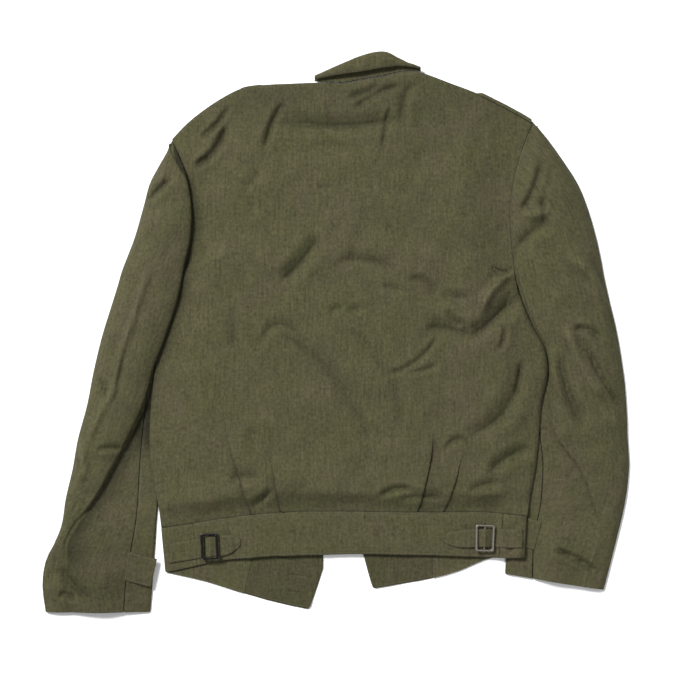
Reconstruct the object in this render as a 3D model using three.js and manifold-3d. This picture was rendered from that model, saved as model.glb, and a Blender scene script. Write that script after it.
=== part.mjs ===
// Wool field jacket with a short waist, laid flat on its front with the back up.
// Millimetres, +Z up, the floor is Z = 0, the neck points along +Y.
import * as THREE from "three";
import ManifoldModule from "manifold-3d";

// ---- Driving sizes, in mm ----
const CLOTH = 1.5;
const BAND_WALL = 2.2;
const SEAM_GAP = 0.3;
const FRONT_WALL = 1.4;
const LIFT_HEIGHT = 5.1;
const LIFT_RUN = 21;
const EDGE_STACK = FRONT_WALL + SEAM_GAP + CLOTH;
const BACK_LOFT = 15.5;
const BAND_REST = 3.7;
const BAND_ARCH = 3.4;
const STRAP_WALL = 1.7;
const TAB_WALL = 1.3;
const TAB_BUMP = 2.3;
const BUCKLE_WALL = 2.0;
const BACK_COLUMNS = 29;
const BACK_ROWS = 33;
const SLEEVE_ROWS = 25;
const KEY_STEPS = 8;
const WRAP_LEAST = 0.35;

// ---- Outline of the body, a row for each height on the jacket ----
const BODY_LEFT = [
  { y: -252, x: -228 }, { y: -215, x: -233 }, { y: -176, x: -240 }, { y: -137, x: -243 },
  { y: -92, x: -241 }, { y: -46, x: -236 }, { y: 0, x: -229 }, { y: 41, x: -220 },
  { y: 84, x: -211 }, { y: 126, x: -203 }, { y: 168, x: -197 }, { y: 203, x: -195 },
  { y: 233, x: -204 }, { y: 254, x: -214 },
];
const BODY_RIGHT = [
  { y: -236, x: 248 }, { y: -209, x: 253 }, { y: -170, x: 260 }, { y: -131, x: 264 },
  { y: -92, x: 267 }, { y: -53, x: 275 }, { y: -20, x: 272 }, { y: 15, x: 254 },
  { y: 58, x: 236 }, { y: 99, x: 230 }, { y: 138, x: 226 }, { y: 181, x: 227 },
  { y: 223, x: 236 }, { y: 255, x: 247 }, { y: 276, x: 256 },
];
const WAIST_SEAM = [
  { x: -228, y: -252 }, { x: -193, y: -247 }, { x: -151, y: -240 }, { x: -112, y: -235 },
  { x: -67, y: -231 }, { x: -8, y: -230 }, { x: 83, y: -231 }, { x: 150, y: -231 },
  { x: 187, y: -231 }, { x: 217, y: -233 }, { x: 248, y: -236 },
];
const TOP_EDGE = [
  { x: -214, y: 254 }, { x: -196, y: 273 }, { x: -177, y: 289 }, { x: -154, y: 305 },
  { x: -130, y: 318 }, { x: -114, y: 323 }, { x: -80, y: 326 }, { x: -24, y: 328 },
  { x: 11, y: 327 }, { x: 31, y: 331 }, { x: 57, y: 335 }, { x: 83, y: 341 },
  { x: 104, y: 342 }, { x: 120, y: 338 }, { x: 147, y: 328 }, { x: 184, y: 314 },
  { x: 219, y: 297 }, { x: 243, y: 284 }, { x: 256, y: 276 },
];
const HEM_EDGE = [
  { x: -222, y: -310 }, { x: -180, y: -301 }, { x: -145, y: -294 }, { x: -112, y: -291 },
  { x: -86, y: -289 }, { x: -13, y: -287 }, { x: 31, y: -286 }, { x: 83, y: -287 },
  { x: 135, y: -288 }, { x: 187, y: -290 }, { x: 222, y: -291 }, { x: 245, y: -290 },
];
const TOP_HEIGHT = [
  { x: -214, z: 3.2 }, { x: -130, z: 3.6 }, { x: -60, z: 4.6 }, { x: -24, z: 7 },
  { x: 20, z: 10 }, { x: 60, z: 11 }, { x: 100, z: 9 }, { x: 125, z: 5.5 },
  { x: 150, z: 4.4 }, { x: 256, z: 3.2 },
];
const ARMHOLE_HEIGHT = [
  { y: -20, left: 0, right: 0 }, { y: 50, left: 1.0, right: 0.6 }, { y: 77, left: 2.6, right: 3 },
  { y: 126, left: 5.4, right: 8 }, { y: 170, left: 6.4, right: 9.6 }, { y: 203, left: 5.4, right: 9 },
  { y: 233, left: 2.6, right: 6 }, { y: 254, left: 0, right: 2.6 }, { y: 276, left: 0, right: 0 },
];

// ---- Sleeves, a row for each section; across values grow away from the body ----
const SLEEVE_LEFT = [
  { y: 236, outer: 221.7, lip: 214, seam: 211.6, inner: 211.6, crown: 8, lipZ: 6, over: 0, shelf: 4.4, mid: 4.6, parting: 217.5, tilt: 1.15 },
  { y: 220, outer: 231, lip: 209, seam: 206.4, inner: 206.4, crown: 14, lipZ: 8.4, over: 0, shelf: 5.8, mid: 6.2, parting: 222, tilt: 0.72 },
  { y: 197, outer: 243, lip: 195, seam: 196.4, inner: 196.4, crown: 20, lipZ: 14.6, over: 3, shelf: 8, mid: 8.4, parting: 227, tilt: 0.22 },
  { y: 168, outer: 251, lip: 188, seam: 197.4, inner: 197.4, crown: 24, lipZ: 16.4, over: 12, shelf: 9.4, mid: 9.8, parting: 230, tilt: 0 },
  { y: 126, outer: 263, lip: 189, seam: 203.4, inner: 203.4, crown: 26, lipZ: 16.6, over: 17, shelf: 8.4, mid: 8.8, parting: 234, tilt: 0 },
  { y: 84, outer: 279, lip: 198, seam: 211.4, inner: 211.4, crown: 26, lipZ: 15.6, over: 16, shelf: 6, mid: 6.5, parting: 248, tilt: 0 },
  { y: 62, outer: 285.5, lip: 202, seam: 218.4, inner: 217, crown: 26, lipZ: 15.6, over: 17, shelf: 4.9, mid: 5.4, parting: 253, tilt: 0 },
  { y: 41, outer: 292, lip: 207, seam: 224, inner: 217.5, crown: 26, lipZ: 15.6, over: 18, shelf: 4.6, mid: 4.7, parting: 258, tilt: 0 },
  { y: -1, outer: 305, lip: 221, seam: 232, inner: 222, crown: 25, lipZ: 15, over: 15, shelf: 4.6, mid: 4.7, parting: 269, tilt: 0 },
  { y: -46, outer: 316, lip: 238, seam: 243, inner: 227, crown: 24, lipZ: 14, over: 10, shelf: 4.6, mid: 4.8, parting: 278, tilt: 0 },
  { y: -92, outer: 325, lip: 251, seam: 249, inner: 228, crown: 23, lipZ: 14, over: 9, shelf: 4.6, mid: 5, parting: 289, tilt: 0 },
  { y: -137, outer: 337, lip: 272, seam: 254, inner: 229, crown: 22, lipZ: 14, over: 9, shelf: 4.6, mid: 5.5, parting: 303, tilt: 0 },
  { y: -176, outer: 344, lip: 292, seam: 257, inner: 230, crown: 19, lipZ: 13, over: 9, shelf: 4.8, mid: 6, parting: 316, tilt: 0 },
  { y: -215, outer: 353, lip: 314, seam: 259, inner: 231.6, crown: 16, lipZ: 12, over: 8, shelf: 5.4, mid: 7.4, parting: 335, tilt: 0 },
  { y: -247, outer: 358, lip: 338, seam: 262, inner: 234, crown: 13, lipZ: 10.6, over: 4, shelf: 6.4, mid: 9, parting: 350, tilt: 0 },
  { y: -271, outer: 367, lip: 351, seam: 266, inner: 235.5, crown: 10.6, lipZ: 9.4, over: 3, shelf: 7.6, mid: 10.4, parting: 360, tilt: 0 },
  { y: -296, outer: 379, lip: 352, seam: 270, inner: 237.5, crown: 9.4, lipZ: 9.2, over: 0, shelf: 8.2, mid: 12, parting: 371, tilt: 0 },
  { y: -330, outer: 383, lip: 352, seam: 275, inner: 239.5, crown: 9.4, lipZ: 9.2, over: 0, shelf: 8.4, mid: 13.4, parting: 375, tilt: 0 },
  { y: -362, outer: 379, lip: 348, seam: 277, inner: 242, crown: 9, lipZ: 9, over: 0, shelf: 8, mid: 13, parting: 371, tilt: 0 },
];
const SLEEVE_RIGHT = [
  { y: 256, outer: 274.5, lip: 257.5, seam: 253.6, inner: 253.6, crown: 9, lipZ: 6, over: 0, shelf: 4.4, mid: 4.6, parting: 268, tilt: 0.66 },
  { y: 232, outer: 292, lip: 249, seam: 244.6, inner: 244.6, crown: 16, lipZ: 9, over: 0, shelf: 7, mid: 7.4, parting: 285, tilt: 0.31 },
  { y: 198, outer: 314, lip: 235, seam: 230, inner: 230, crown: 21, lipZ: 14, over: 0, shelf: 12, mid: 12.8, parting: 302, tilt: 0 },
  { y: 167, outer: 327, lip: 231, seam: 227, inner: 227, crown: 23, lipZ: 14.6, over: 0, shelf: 12.8, mid: 13.4, parting: 312, tilt: 0 },
  { y: 130, outer: 338, lip: 231, seam: 227, inner: 227, crown: 25, lipZ: 13.6, over: 0, shelf: 11.6, mid: 12.4, parting: 322, tilt: 0 },
  { y: 99, outer: 345, lip: 234, seam: 230.4, inner: 230.4, crown: 25, lipZ: 11, over: 0, shelf: 8.4, mid: 9.2, parting: 328, tilt: 0 },
  { y: 77, outer: 349, lip: 237, seam: 233.6, inner: 233.6, crown: 25, lipZ: 10, over: 0, shelf: 6.2, mid: 6.8, parting: 332, tilt: 0 },
  { y: 45, outer: 356, lip: 246, seam: 242.6, inner: 237.6, crown: 24, lipZ: 12, over: 0.4, shelf: 4.5, mid: 4.2, parting: 338, tilt: 0 },
  { y: 12, outer: 364, lip: 259, seam: 253, inner: 247, crown: 23, lipZ: 12.6, over: 0.4, shelf: 4.5, mid: 4.2, parting: 344, tilt: 0 },
  { y: -14, outer: 369, lip: 272.6, seam: 265, inner: 257, crown: 22, lipZ: 13, over: 0.4, shelf: 4.5, mid: 4.2, parting: 348, tilt: 0 },
  { y: -46, outer: 374, lip: 279, seam: 269, inner: 260, crown: 21, lipZ: 13, over: 0.4, shelf: 4.5, mid: 4.2, parting: 352, tilt: 0 },
  { y: -66, outer: 376.5, lip: 281, seam: 266, inner: 256, crown: 21, lipZ: 13, over: 4, shelf: 4.6, mid: 4.6, parting: 354, tilt: 0 },
  { y: -85, outer: 378, lip: 278, seam: 263, inner: 249, crown: 20, lipZ: 13, over: 8, shelf: 4.6, mid: 4.8, parting: 355, tilt: 0 },
  { y: -111, outer: 379.5, lip: 280, seam: 263, inner: 244, crown: 20, lipZ: 13, over: 9, shelf: 4.6, mid: 5, parting: 356, tilt: 0 },
  { y: -131, outer: 380, lip: 284, seam: 266, inner: 242, crown: 19, lipZ: 13, over: 9, shelf: 4.6, mid: 5.2, parting: 356, tilt: 0 },
  { y: -148, outer: 381, lip: 295, seam: 268, inner: 239, crown: 18, lipZ: 12.6, over: 9, shelf: 4.6, mid: 5.6, parting: 358, tilt: 0 },
  { y: -170, outer: 382, lip: 312, seam: 270, inner: 236, crown: 17, lipZ: 12, over: 9, shelf: 4.6, mid: 6.4, parting: 360, tilt: 0.01 },
  { y: -202, outer: 379.5, lip: 327, seam: 269, inner: 232, crown: 15, lipZ: 11.4, over: 8, shelf: 4.6, mid: 7.4, parting: 362, tilt: 0.03 },
  { y: -228, outer: 375, lip: 335, seam: 267, inner: 229, crown: 13, lipZ: 10.6, over: 6, shelf: 4.6, mid: 8.4, parting: 362, tilt: 0.06 },
  { y: -252, outer: 369.5, lip: 341, seam: 263, inner: 226.5, crown: 11, lipZ: 9.6, over: 3, shelf: 4.6, mid: 9.4, parting: 360, tilt: 0.1 },
  { y: -284, outer: 361.5, lip: 334, seam: 258, inner: 222.5, crown: 9.6, lipZ: 9.6, over: 0, shelf: 4.6, mid: 13, parting: 346, tilt: 0.14 },
  { y: -333, outer: 349, lip: 318, seam: 256, inner: 219.5, crown: 9.4, lipZ: 9.4, over: 0, shelf: 5.4, mid: 13.4, parting: 330, tilt: 0.16 },
];
// How far down each sleeve the tube is closed, and where the body rides over it.
const TUBE = {
  left: { closes: 58, closed: 40, rideFrom: 84, rideFull: 58, rideEnds: -216, rideGone: -244 },
  right: { closes: 74, closed: 50, rideFrom: 92, rideFull: 62, rideEnds: -316, rideGone: -334 },
};

// ---- Largest folds: an arc from a to b, bulge to the left of its way; depth < 0 is a trough ----
const FOLDS = [
  { ax: -60, ay: 276, bx: 76, by: 279, bulge: -7, depth: -3.2, width: 9 },
  { ax: -69, ay: 299, bx: -91, by: 242, bulge: -4, depth: -2.6, width: 8 },
  { ax: 83, ay: 322, bx: 26, by: 294, bulge: -5, depth: -2.6, width: 7 },
  { ax: 98, ay: 326, bx: 88, by: 272, bulge: -5, depth: -2.0, width: 7 },
  { ax: -24, ay: 125, bx: -70, by: 70, bulge: 6, depth: -3.4, width: 10 },
  { ax: 5, ay: 94, bx: 76, by: 84, bulge: 5, depth: -2.0, width: 8 },
  { ax: 98, ay: 73, bx: 130, by: 53, bulge: 3, depth: -1.8, width: 7 },
  { ax: 236, ay: 57, bx: 171, by: -4, bulge: 9, depth: -5.0, width: 9 },
  { ax: 176, ay: -3, bx: 118, by: 8, bulge: 6, depth: -3.4, width: 8 },
  { ax: 230, ay: 80, bx: 188, by: 33, bulge: -6, depth: 3.4, width: 8 },
  { ax: -97, ay: -7, bx: -47, by: -1, bulge: 16, depth: -1.8, width: 7 },
  { ax: -67, ay: -1, bx: 11, by: -75, bulge: 6, depth: -2.8, width: 9 },
  { ax: 5, ay: -66, bx: 44, by: -137, bulge: 4, depth: -2.2, width: 8 },
  { ax: 20, ay: 5, bx: 67, by: -52, bulge: 3, depth: -2.4, width: 7 },
  { ax: 67, ay: -52, bx: 131, by: -4, bulge: 8, depth: -3.6, width: 7 },
  { ax: 70, ay: -55, bx: 86, by: -111, bulge: 3, depth: -1.5, width: 7 },
  { ax: -135, ay: 36, bx: -132, by: -18, bulge: 1, depth: -1.8, width: 7 },
  { ax: 239, ay: -40, bx: 174, by: -132, bulge: 20, depth: -3.0, width: 9 },
  { ax: 141, ay: -150, bx: 176, by: -149, bulge: 13, depth: -2.2, width: 7 },
  { ax: 200, ay: -178, bx: 252, by: -148, bulge: 4, depth: -2.4, width: 7 },
  { ax: 86, ay: -212, bx: 137, by: -212, bulge: 1, depth: -2.2, width: 7 },
  { ax: -141, ay: 294, bx: -173, by: 256, bulge: 3, depth: -2.4, width: 7 },
  { ax: -147, ay: 266, bx: -180, by: 218, bulge: 5, depth: -3.6, width: 8 },
  { ax: -135, ay: -186, bx: -100, by: -186, bulge: 1, depth: -1.8, width: 7 },
  { ax: 265, ay: 219, bx: 240, by: 159, bulge: 4, depth: -3.6, width: 8 },
  { ax: 233, ay: 112, bx: 274, by: 146, bulge: 2, depth: -5.0, width: 9 },
  { ax: 240, ay: 156, bx: 275, by: 160, bulge: -3, depth: 3.6, width: 8 },
  { ax: 270, ay: 176, bx: 281, by: 132, bulge: -2, depth: -2.6, width: 7 },
  { ax: 308, ay: 96, bx: 358, by: 30, bulge: 6, depth: 3.6, width: 9 },
  { ax: 334, ay: 96, bx: 362, by: 0, bulge: 5, depth: -3.4, width: 8 },
  { ax: 297, ay: 8, bx: 343, by: -80, bulge: -3, depth: 3.4, width: 9 },
  { ax: 326, ay: -18, bx: 372, by: -96, bulge: -3, depth: -2.8, width: 7 },
  { ax: 291, ay: -30, bx: 320, by: -117, bulge: -4, depth: -5.0, width: 7 },
  { ax: 286, ay: -281, bx: 340, by: -312, bulge: 3, depth: -2.4, width: 8 },
  { ax: -216, ay: 200, bx: -248, by: 175, bulge: 2, depth: -3.6, width: 8 },
  { ax: -242, ay: 80, bx: -322, by: -142, bulge: -6, depth: 3.6, width: 9 },
  { ax: -306, ay: -58, bx: -297, by: -84, bulge: 1, depth: -2.2, width: 7 },
  { ax: -308, ay: -149, bx: -278, by: -149, bulge: 1, depth: -2.2, width: 7 },
  { ax: -338, ay: -160, bx: -325, by: -196, bulge: 2, depth: -2.4, width: 7 },
  { ax: -358, ay: -306, bx: -320, by: -346, bulge: -3, depth: -2.6, width: 8 },
];

// ---- Knife pleats set into the waist seam; lean is the shift of the fold edge at its top ----
const PLEATS = [
  { name: "outer_left", foot: -109, lean: -24, tall: 112, toward: 1, step: 3.2, run: 34 },
  { name: "inner_left", foot: -71, lean: -6, tall: 84, toward: 1, step: 2.6, run: 30 },
  { name: "inner_right", foot: 105, lean: 9, tall: 118, toward: -1, step: 3.0, run: 34 },
  { name: "outer_right", foot: 139, lean: 16, tall: 88, toward: -1, step: 2.6, run: 24 },
];

// ---- Number helpers ----
const mix = (a, b, t) => a + (b - a) * t;
const clamp = (v, lo, hi) => Math.min(hi, Math.max(lo, v));
function smooth(t) {
  const s = clamp(t, 0, 1);
  return s * s * (3 - 2 * s);
}
// One named column of a table at a value of its key, along a smooth curve through the rows.
function column(table, key, name, at) {
  const rising = table[0][key] < table[table.length - 1][key];
  const n = table.length;
  let i = 0;
  while (i < n - 2 && (rising ? table[i + 1][key] < at : table[i + 1][key] > at)) i++;
  const slope = (k) => {
    const a = table[Math.max(0, k - 1)];
    const b = table[Math.min(n - 1, k + 1)];
    return (b[name] - a[name]) / (b[key] - a[key]);
  };
  const p = table[i];
  const q = table[i + 1];
  const h = q[key] - p[key];
  const t = clamp((at - p[key]) / h, 0, 1);
  const t2 = t * t;
  const t3 = t2 * t;
  return (2 * t3 - 3 * t2 + 1) * p[name] + (t3 - 2 * t2 + t) * h * slope(i)
    + (3 * t2 - 2 * t3) * q[name] + (t3 - t2) * h * slope(i + 1);
}

// ---- Height fields shared by every piece ----
function arcDistance(x, y, f) {
  const dx = f.bx - f.ax;
  const dy = f.by - f.ay;
  const len = Math.hypot(dx, dy);
  const along = ((x - f.ax) * dx + (y - f.ay) * dy) / len;
  const t = along / len;
  const bow = 4 * f.bulge * clamp(t, 0, 1) * (1 - clamp(t, 0, 1));
  const off = ((y - f.ay) * dx - (x - f.ax) * dy) / len - bow;
  return { t, off, len };
}
function foldHeight(x, y) {
  let z = 0;
  for (const f of FOLDS) {
    const d = arcDistance(x, y, f);
    const ends = smooth((d.t + 0.12) / 0.3) * smooth((1.12 - d.t) / 0.3);
    z += f.depth * ends * Math.exp(-0.5 * (d.off / f.width) ** 2);
  }
  return z;
}
const bodyX = (side, y) => column(side < 0 ? BODY_LEFT : BODY_RIGHT, "y", "x", y);
const sleeveTable = (side) => (side < 0 ? SLEEVE_LEFT : SLEEVE_RIGHT);
const tubeOf = (side) => (side < 0 ? TUBE.left : TUBE.right);
// The body rides up where the forearm of a sleeve lies under it.
function lift(x, y) {
  const side = x < 0 ? -1 : 1;
  const tube = tubeOf(side);
  const inside = column(sleeveTable(side), "y", "inner", y);
  const across = smooth((side * x - inside + LIFT_RUN) / (LIFT_RUN - 2));
  const upper = smooth((tube.rideFrom - y) / (tube.rideFrom - tube.rideFull));
  const lower = smooth((y - tube.rideGone) / (tube.rideEnds - tube.rideGone));
  const overTab = side > 0
    ? TAB_BUMP * smooth((x - 226) / 10) * smooth((y + 302) / 14) * smooth((-218 - y) / 14)
    : 0;
  return LIFT_HEIGHT * across * upper * lower + overTab;
}
const bandUnder = (x, y) => BAND_REST + lift(x, y)
  + BAND_ARCH * smooth((x + 188) / 90) * smooth((250 - x) / 100);
const bandTop = (x, y) => bandUnder(x, y) + BAND_WALL;

// ---- Solids from sheets ----
// points[j][i] on the outer face; the wall goes inward, against the face's own normal.
// ghosts: how many columns at each side only lend their slope and aren't built.
function sheetSolid(grown, wall, drop, ghosts = 0) {
  const rows = grown.length;
  let points = grown;
  let cols = points[0].length;
  let normals = points.map((row) => row.map(() => new THREE.Vector3()));
  const e1 = new THREE.Vector3();
  const e2 = new THREE.Vector3();
  const cross = new THREE.Vector3();
  for (let j = 0; j < rows - 1; j++) {
    for (let i = 0; i < cols - 1; i++) {
      e1.subVectors(points[j + 1][i + 1], points[j][i]);
      e2.subVectors(points[j + 1][i], points[j][i + 1]);
      cross.crossVectors(e1, e2).normalize();
      normals[j][i].add(cross);
      normals[j][i + 1].add(cross);
      normals[j + 1][i].add(cross);
      normals[j + 1][i + 1].add(cross);
    }
  }
  if (ghosts) {
    points = points.map((row) => row.slice(ghosts, cols - ghosts));
    normals = normals.map((row) => row.slice(ghosts, cols - ghosts));
    cols -= 2 * ghosts;
  }
  const positions = [];
  const put = (p) => positions.push(p.x, p.y, p.z);
  points.forEach((row) => row.forEach(put));
  points.forEach((row, j) => row.forEach((p, i) => {
    const way = drop ? new THREE.Vector3(0, 0, 1) : normals[j][i].normalize();
    put(p.clone().addScaledVector(way, -wall));
  }));
  const index = [];
  const top = (j, i) => j * cols + i;
  const low = (j, i) => rows * cols + j * cols + i;
  for (let j = 0; j < rows - 1; j++) {
    for (let i = 0; i < cols - 1; i++) {
      index.push(top(j, i), top(j, i + 1), top(j + 1, i + 1), top(j, i), top(j + 1, i + 1), top(j + 1, i));
      index.push(low(j, i), low(j + 1, i + 1), low(j, i + 1), low(j, i), low(j + 1, i), low(j + 1, i + 1));
    }
  }
  const rim = (a, b, c, d) => index.push(a, c, b, b, c, d);
  for (let i = 0; i < cols - 1; i++) {
    rim(top(0, i), top(0, i + 1), low(0, i), low(0, i + 1));
    rim(top(rows - 1, i + 1), top(rows - 1, i), low(rows - 1, i + 1), low(rows - 1, i));
  }
  for (let j = 0; j < rows - 1; j++) {
    rim(top(j + 1, 0), top(j, 0), low(j + 1, 0), low(j, 0));
    rim(top(j, cols - 1), top(j + 1, cols - 1), low(j, cols - 1), low(j + 1, cols - 1));
  }
  const geometry = new THREE.BufferGeometry();
  geometry.setAttribute("position", new THREE.Float32BufferAttribute(positions, 3));
  geometry.setIndex(index);
  return geometry;
}
function grid(us, vs, place) {
  return vs.map((v) => us.map((u) => place(u, v)));
}
function steps(count) {
  return Array.from({ length: count + 1 }, (_, i) => i / count);
}

// ---- Back panel ----
const LOW_LEFT = BODY_LEFT[0];
const HIGH_LEFT = BODY_LEFT[BODY_LEFT.length - 1];
const LOW_RIGHT = BODY_RIGHT[0];
const HIGH_RIGHT = BODY_RIGHT[BODY_RIGHT.length - 1];
function bodyPatch(u, v) {
  const yl = mix(LOW_LEFT.y, HIGH_LEFT.y, v);
  const yr = mix(LOW_RIGHT.y, HIGH_RIGHT.y, v);
  const xb = mix(LOW_LEFT.x, LOW_RIGHT.x, u);
  const xt = mix(HIGH_LEFT.x, HIGH_RIGHT.x, u);
  const cornerX = mix(mix(LOW_LEFT.x, LOW_RIGHT.x, u), mix(HIGH_LEFT.x, HIGH_RIGHT.x, u), v);
  const cornerY = mix(mix(LOW_LEFT.y, LOW_RIGHT.y, u), mix(HIGH_LEFT.y, HIGH_RIGHT.y, u), v);
  const x = mix(bodyX(-1, yl), bodyX(1, yr), u) + mix(xb, xt, v) - cornerX;
  const y = mix(yl, yr, u)
    + mix(column(WAIST_SEAM, "x", "y", xb), column(TOP_EDGE, "x", "y", xt), v) - cornerY;
  return { x, y, yl, yr, xt };
}
// How the back rises from its edge: a quick roll, then a slow swell.
const roll = (d, quick, run) => quick * (1 - Math.exp(-d / 3)) + (1 - quick) * smooth(d / run);
const shoulderRoll = (d) => roll(d, 0.16, 80);
function backHeight(x, y, yl, yr, xt, u, v, width, tall) {
  const dl = u * width;
  const dr = (1 - u) * width;
  const dt = (1 - v) * tall;
  const armL = column(ARMHOLE_HEIGHT, "y", "left", Math.max(yl, -20));
  const armR = column(ARMHOLE_HEIGHT, "y", "right", Math.max(yr, -20));
  const zl = EDGE_STACK + lift(bodyX(-1, yl) + 1, yl) + armL;
  const zr = EDGE_STACK + lift(bodyX(1, yr) - 1, yr) + armR;
  const zt = column(TOP_HEIGHT, "x", "z", xt);
  const wl = 1 / (dl + 1) ** 2;
  const wr = 1 / (dr + 1) ** 2;
  const wt = 1 / (dt + 1) ** 2;
  const edge = (zl * wl + zr * wr + zt * wt) / (wl + wr + wt);
  const quickL = 0.28 * smooth((-30 - yl) / 40);
  const quickR = 0.28 * smooth((60 - yr) / 40);
  const ramp = roll(dl, quickL, 74) * roll(dr, quickR, 70) * shoulderRoll(dt);
  const blouse = 2.2 * Math.exp(-0.5 * ((v * tall - 34) / 20) ** 2);
  const z = edge + (BACK_LOFT + blouse - EDGE_STACK) * ramp
    + foldHeight(x, y) * (0.25 + 0.75 * smooth(Math.min(dl, dr, dt) / 26));
  const seam = bandTop(x, y) - 0.7;
  const settled = mix(seam, z, smooth(v * tall / 30));
  const stack = shoulderStack(x, y);
  return Math.max(settled + stack * smooth(1 - dt / 60), EDGE_STACK + lift(x, y) + stack + 0.25);
}
function backColumns() {
  const width = LOW_RIGHT.x - LOW_LEFT.x;
  const us = steps(BACK_COLUMNS).filter((u) => PLEATS.every(
    (p) => Math.abs(u * width + LOW_LEFT.x - p.foot) > 7));
  for (const p of PLEATS) {
    for (const off of [-4.2, -0.9, 0.9, 4.2]) us.push((p.foot + off - LOW_LEFT.x) / width);
  }
  return us.sort((a, b) => a - b);
}
function backPoint(u, v) {
  const p = bodyPatch(u, v);
  const width = bodyX(1, p.yr) - bodyX(-1, p.yl);
  const tall = column(TOP_EDGE, "x", "y", p.xt) - LOW_LEFT.y + 16;
  const foot = mix(LOW_LEFT.x, LOW_RIGHT.x, u);
  const up = v * tall;
  let x = p.x;
  for (const pl of PLEATS) {
    const rise = clamp(up / pl.tall, 0, 1);
    const fade = smooth(1 - (up - pl.tall) / 90);
    const near = Math.exp(-0.5 * ((foot - pl.foot) / 24) ** 2);
    x += (pl.lean * rise * fade + (1 - width / 476) * (pl.foot - 10) * 0) * near;
  }
  let z = backHeight(x, p.y, p.yl, p.yr, p.xt, u, v, width, tall);
  for (const pl of PLEATS) {
    const inward = (foot - pl.foot) * pl.toward;
    const alive = smooth((pl.tall - up) / 46);
    const low = 0.55 + 0.45 * smooth(up / 16);
    const over = smooth((inward + 0.9) / 1.8) * Math.exp(-Math.max(0, inward) / pl.run);
    z += pl.step * alive * low * over;
    const lap = Math.exp(-0.5 * ((inward - 0.6) / 1.4) ** 2);
    x -= pl.toward * 0.8 * alive * low * lap;
  }
  return new THREE.Vector3(x, p.y, z);
}
function backPanel() {
  const vs = steps(BACK_ROWS);
  const pts = grid(backColumns(), vs, (u, v) => backPoint(u, v));
  const last = pts[0].length - 1;
  pts.forEach((row) => {
    row[0].x += SEAM_GAP / 2;
    row[last].x -= SEAM_GAP / 2;
  });
  return sheetSolid(pts, CLOTH, false);
}

// ---- Fronts, flat under the back ----
const BAND_LOW = {
  left: [
    { x: -228, y: -253.2 }, { x: -221, y: -254.4 }, { x: -190, y: -262.2 }, { x: -150, y: -271.6 },
    { x: -108, y: -282.6 }, { x: -64, y: -293.2 }, { x: -17, y: -304.2 },
  ],
  right: [
    { x: 248, y: -237 }, { x: 241, y: -238 }, { x: 214, y: -241.2 }, { x: 170, y: -248.6 },
    { x: 124, y: -258.6 }, { x: 78, y: -267.6 }, { x: 33, y: -276.6 },
  ],
};
const FRONT_EDGE = {
  left: { low: { x: -17, y: -303 }, high: { x: -10, y: 296 } },
  right: { low: { x: 33, y: -276 }, high: { x: 34, y: 300 } },
};
function frontPanel(side) {
  const edge = side < 0 ? FRONT_EDGE.left : FRONT_EDGE.right;
  const corner = side < 0 ? LOW_LEFT : LOW_RIGHT;
  const high = side < 0 ? HIGH_LEFT : HIGH_RIGHT;
  const low = side < 0 ? BAND_LOW.left : BAND_LOW.right;
  const fs = [0, 0.04, 0.08, 0.13, 0.3, 0.6, 0.76, 1];
  const pts = grid(fs, steps(21), (f, v) => {
    const y = mix(corner.y - 3, high.y, v);
    const xe = bodyX(side, Math.max(y, corner.y)) - side * SEAM_GAP / 2;
    const inner = new THREE.Vector2(mix(edge.low.x, edge.high.x, v), mix(edge.low.y, edge.high.y, v));
    const x = mix(xe, inner.x, f);
    const shoulder = column(TOP_EDGE, "x", "y", x) - 1 - 14 * smooth(f * 2 - 1);
    const hem = column(low, "x", "y", x) + 0.5;
    const straight = mix(y, inner.y, f) + (hem - mix(corner.y - 3, edge.low.y, f)) * (1 - v) ** 3;
    const yy = mix(straight, Math.max(straight, mix(y, shoulder, smooth(f * 8))), v ** 6);
    const reach = shoulderStack(x, yy);
    return new THREE.Vector3(x, yy, lift(x, yy) + reach + FRONT_WALL);
  });
  if (side > 0) pts.forEach((row) => row.reverse());
  return sheetSolid(pts, FRONT_WALL, true);
}
// The fronts ride over the hidden side of the shoulder straps.
function shoulderStack(x, y) {
  const top = column(TOP_EDGE, "x", "y", x);
  const near = smooth((y - top + 84) / 20);
  const spanL = smooth((x + 232) / 12) * smooth((-60 - x) / 20);
  const spanR = smooth((x - 84) / 20) * smooth((280 - x) / 10);
  return (STRAP_WALL + SEAM_GAP) * near * Math.max(spanL, spanR);
}

// ---- Sleeves ----
function sleeveRow(side, y) {
  const t = sleeveTable(side);
  const row = { y, side };
  for (const name of Object.keys(t[0])) {
    if (name !== "y") row[name] = column(t, "y", name, y);
  }
  const tube = tubeOf(side);
  row.wrap = smooth((tube.closes - y) / (tube.closes - tube.closed));
  return row;
}
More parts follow.
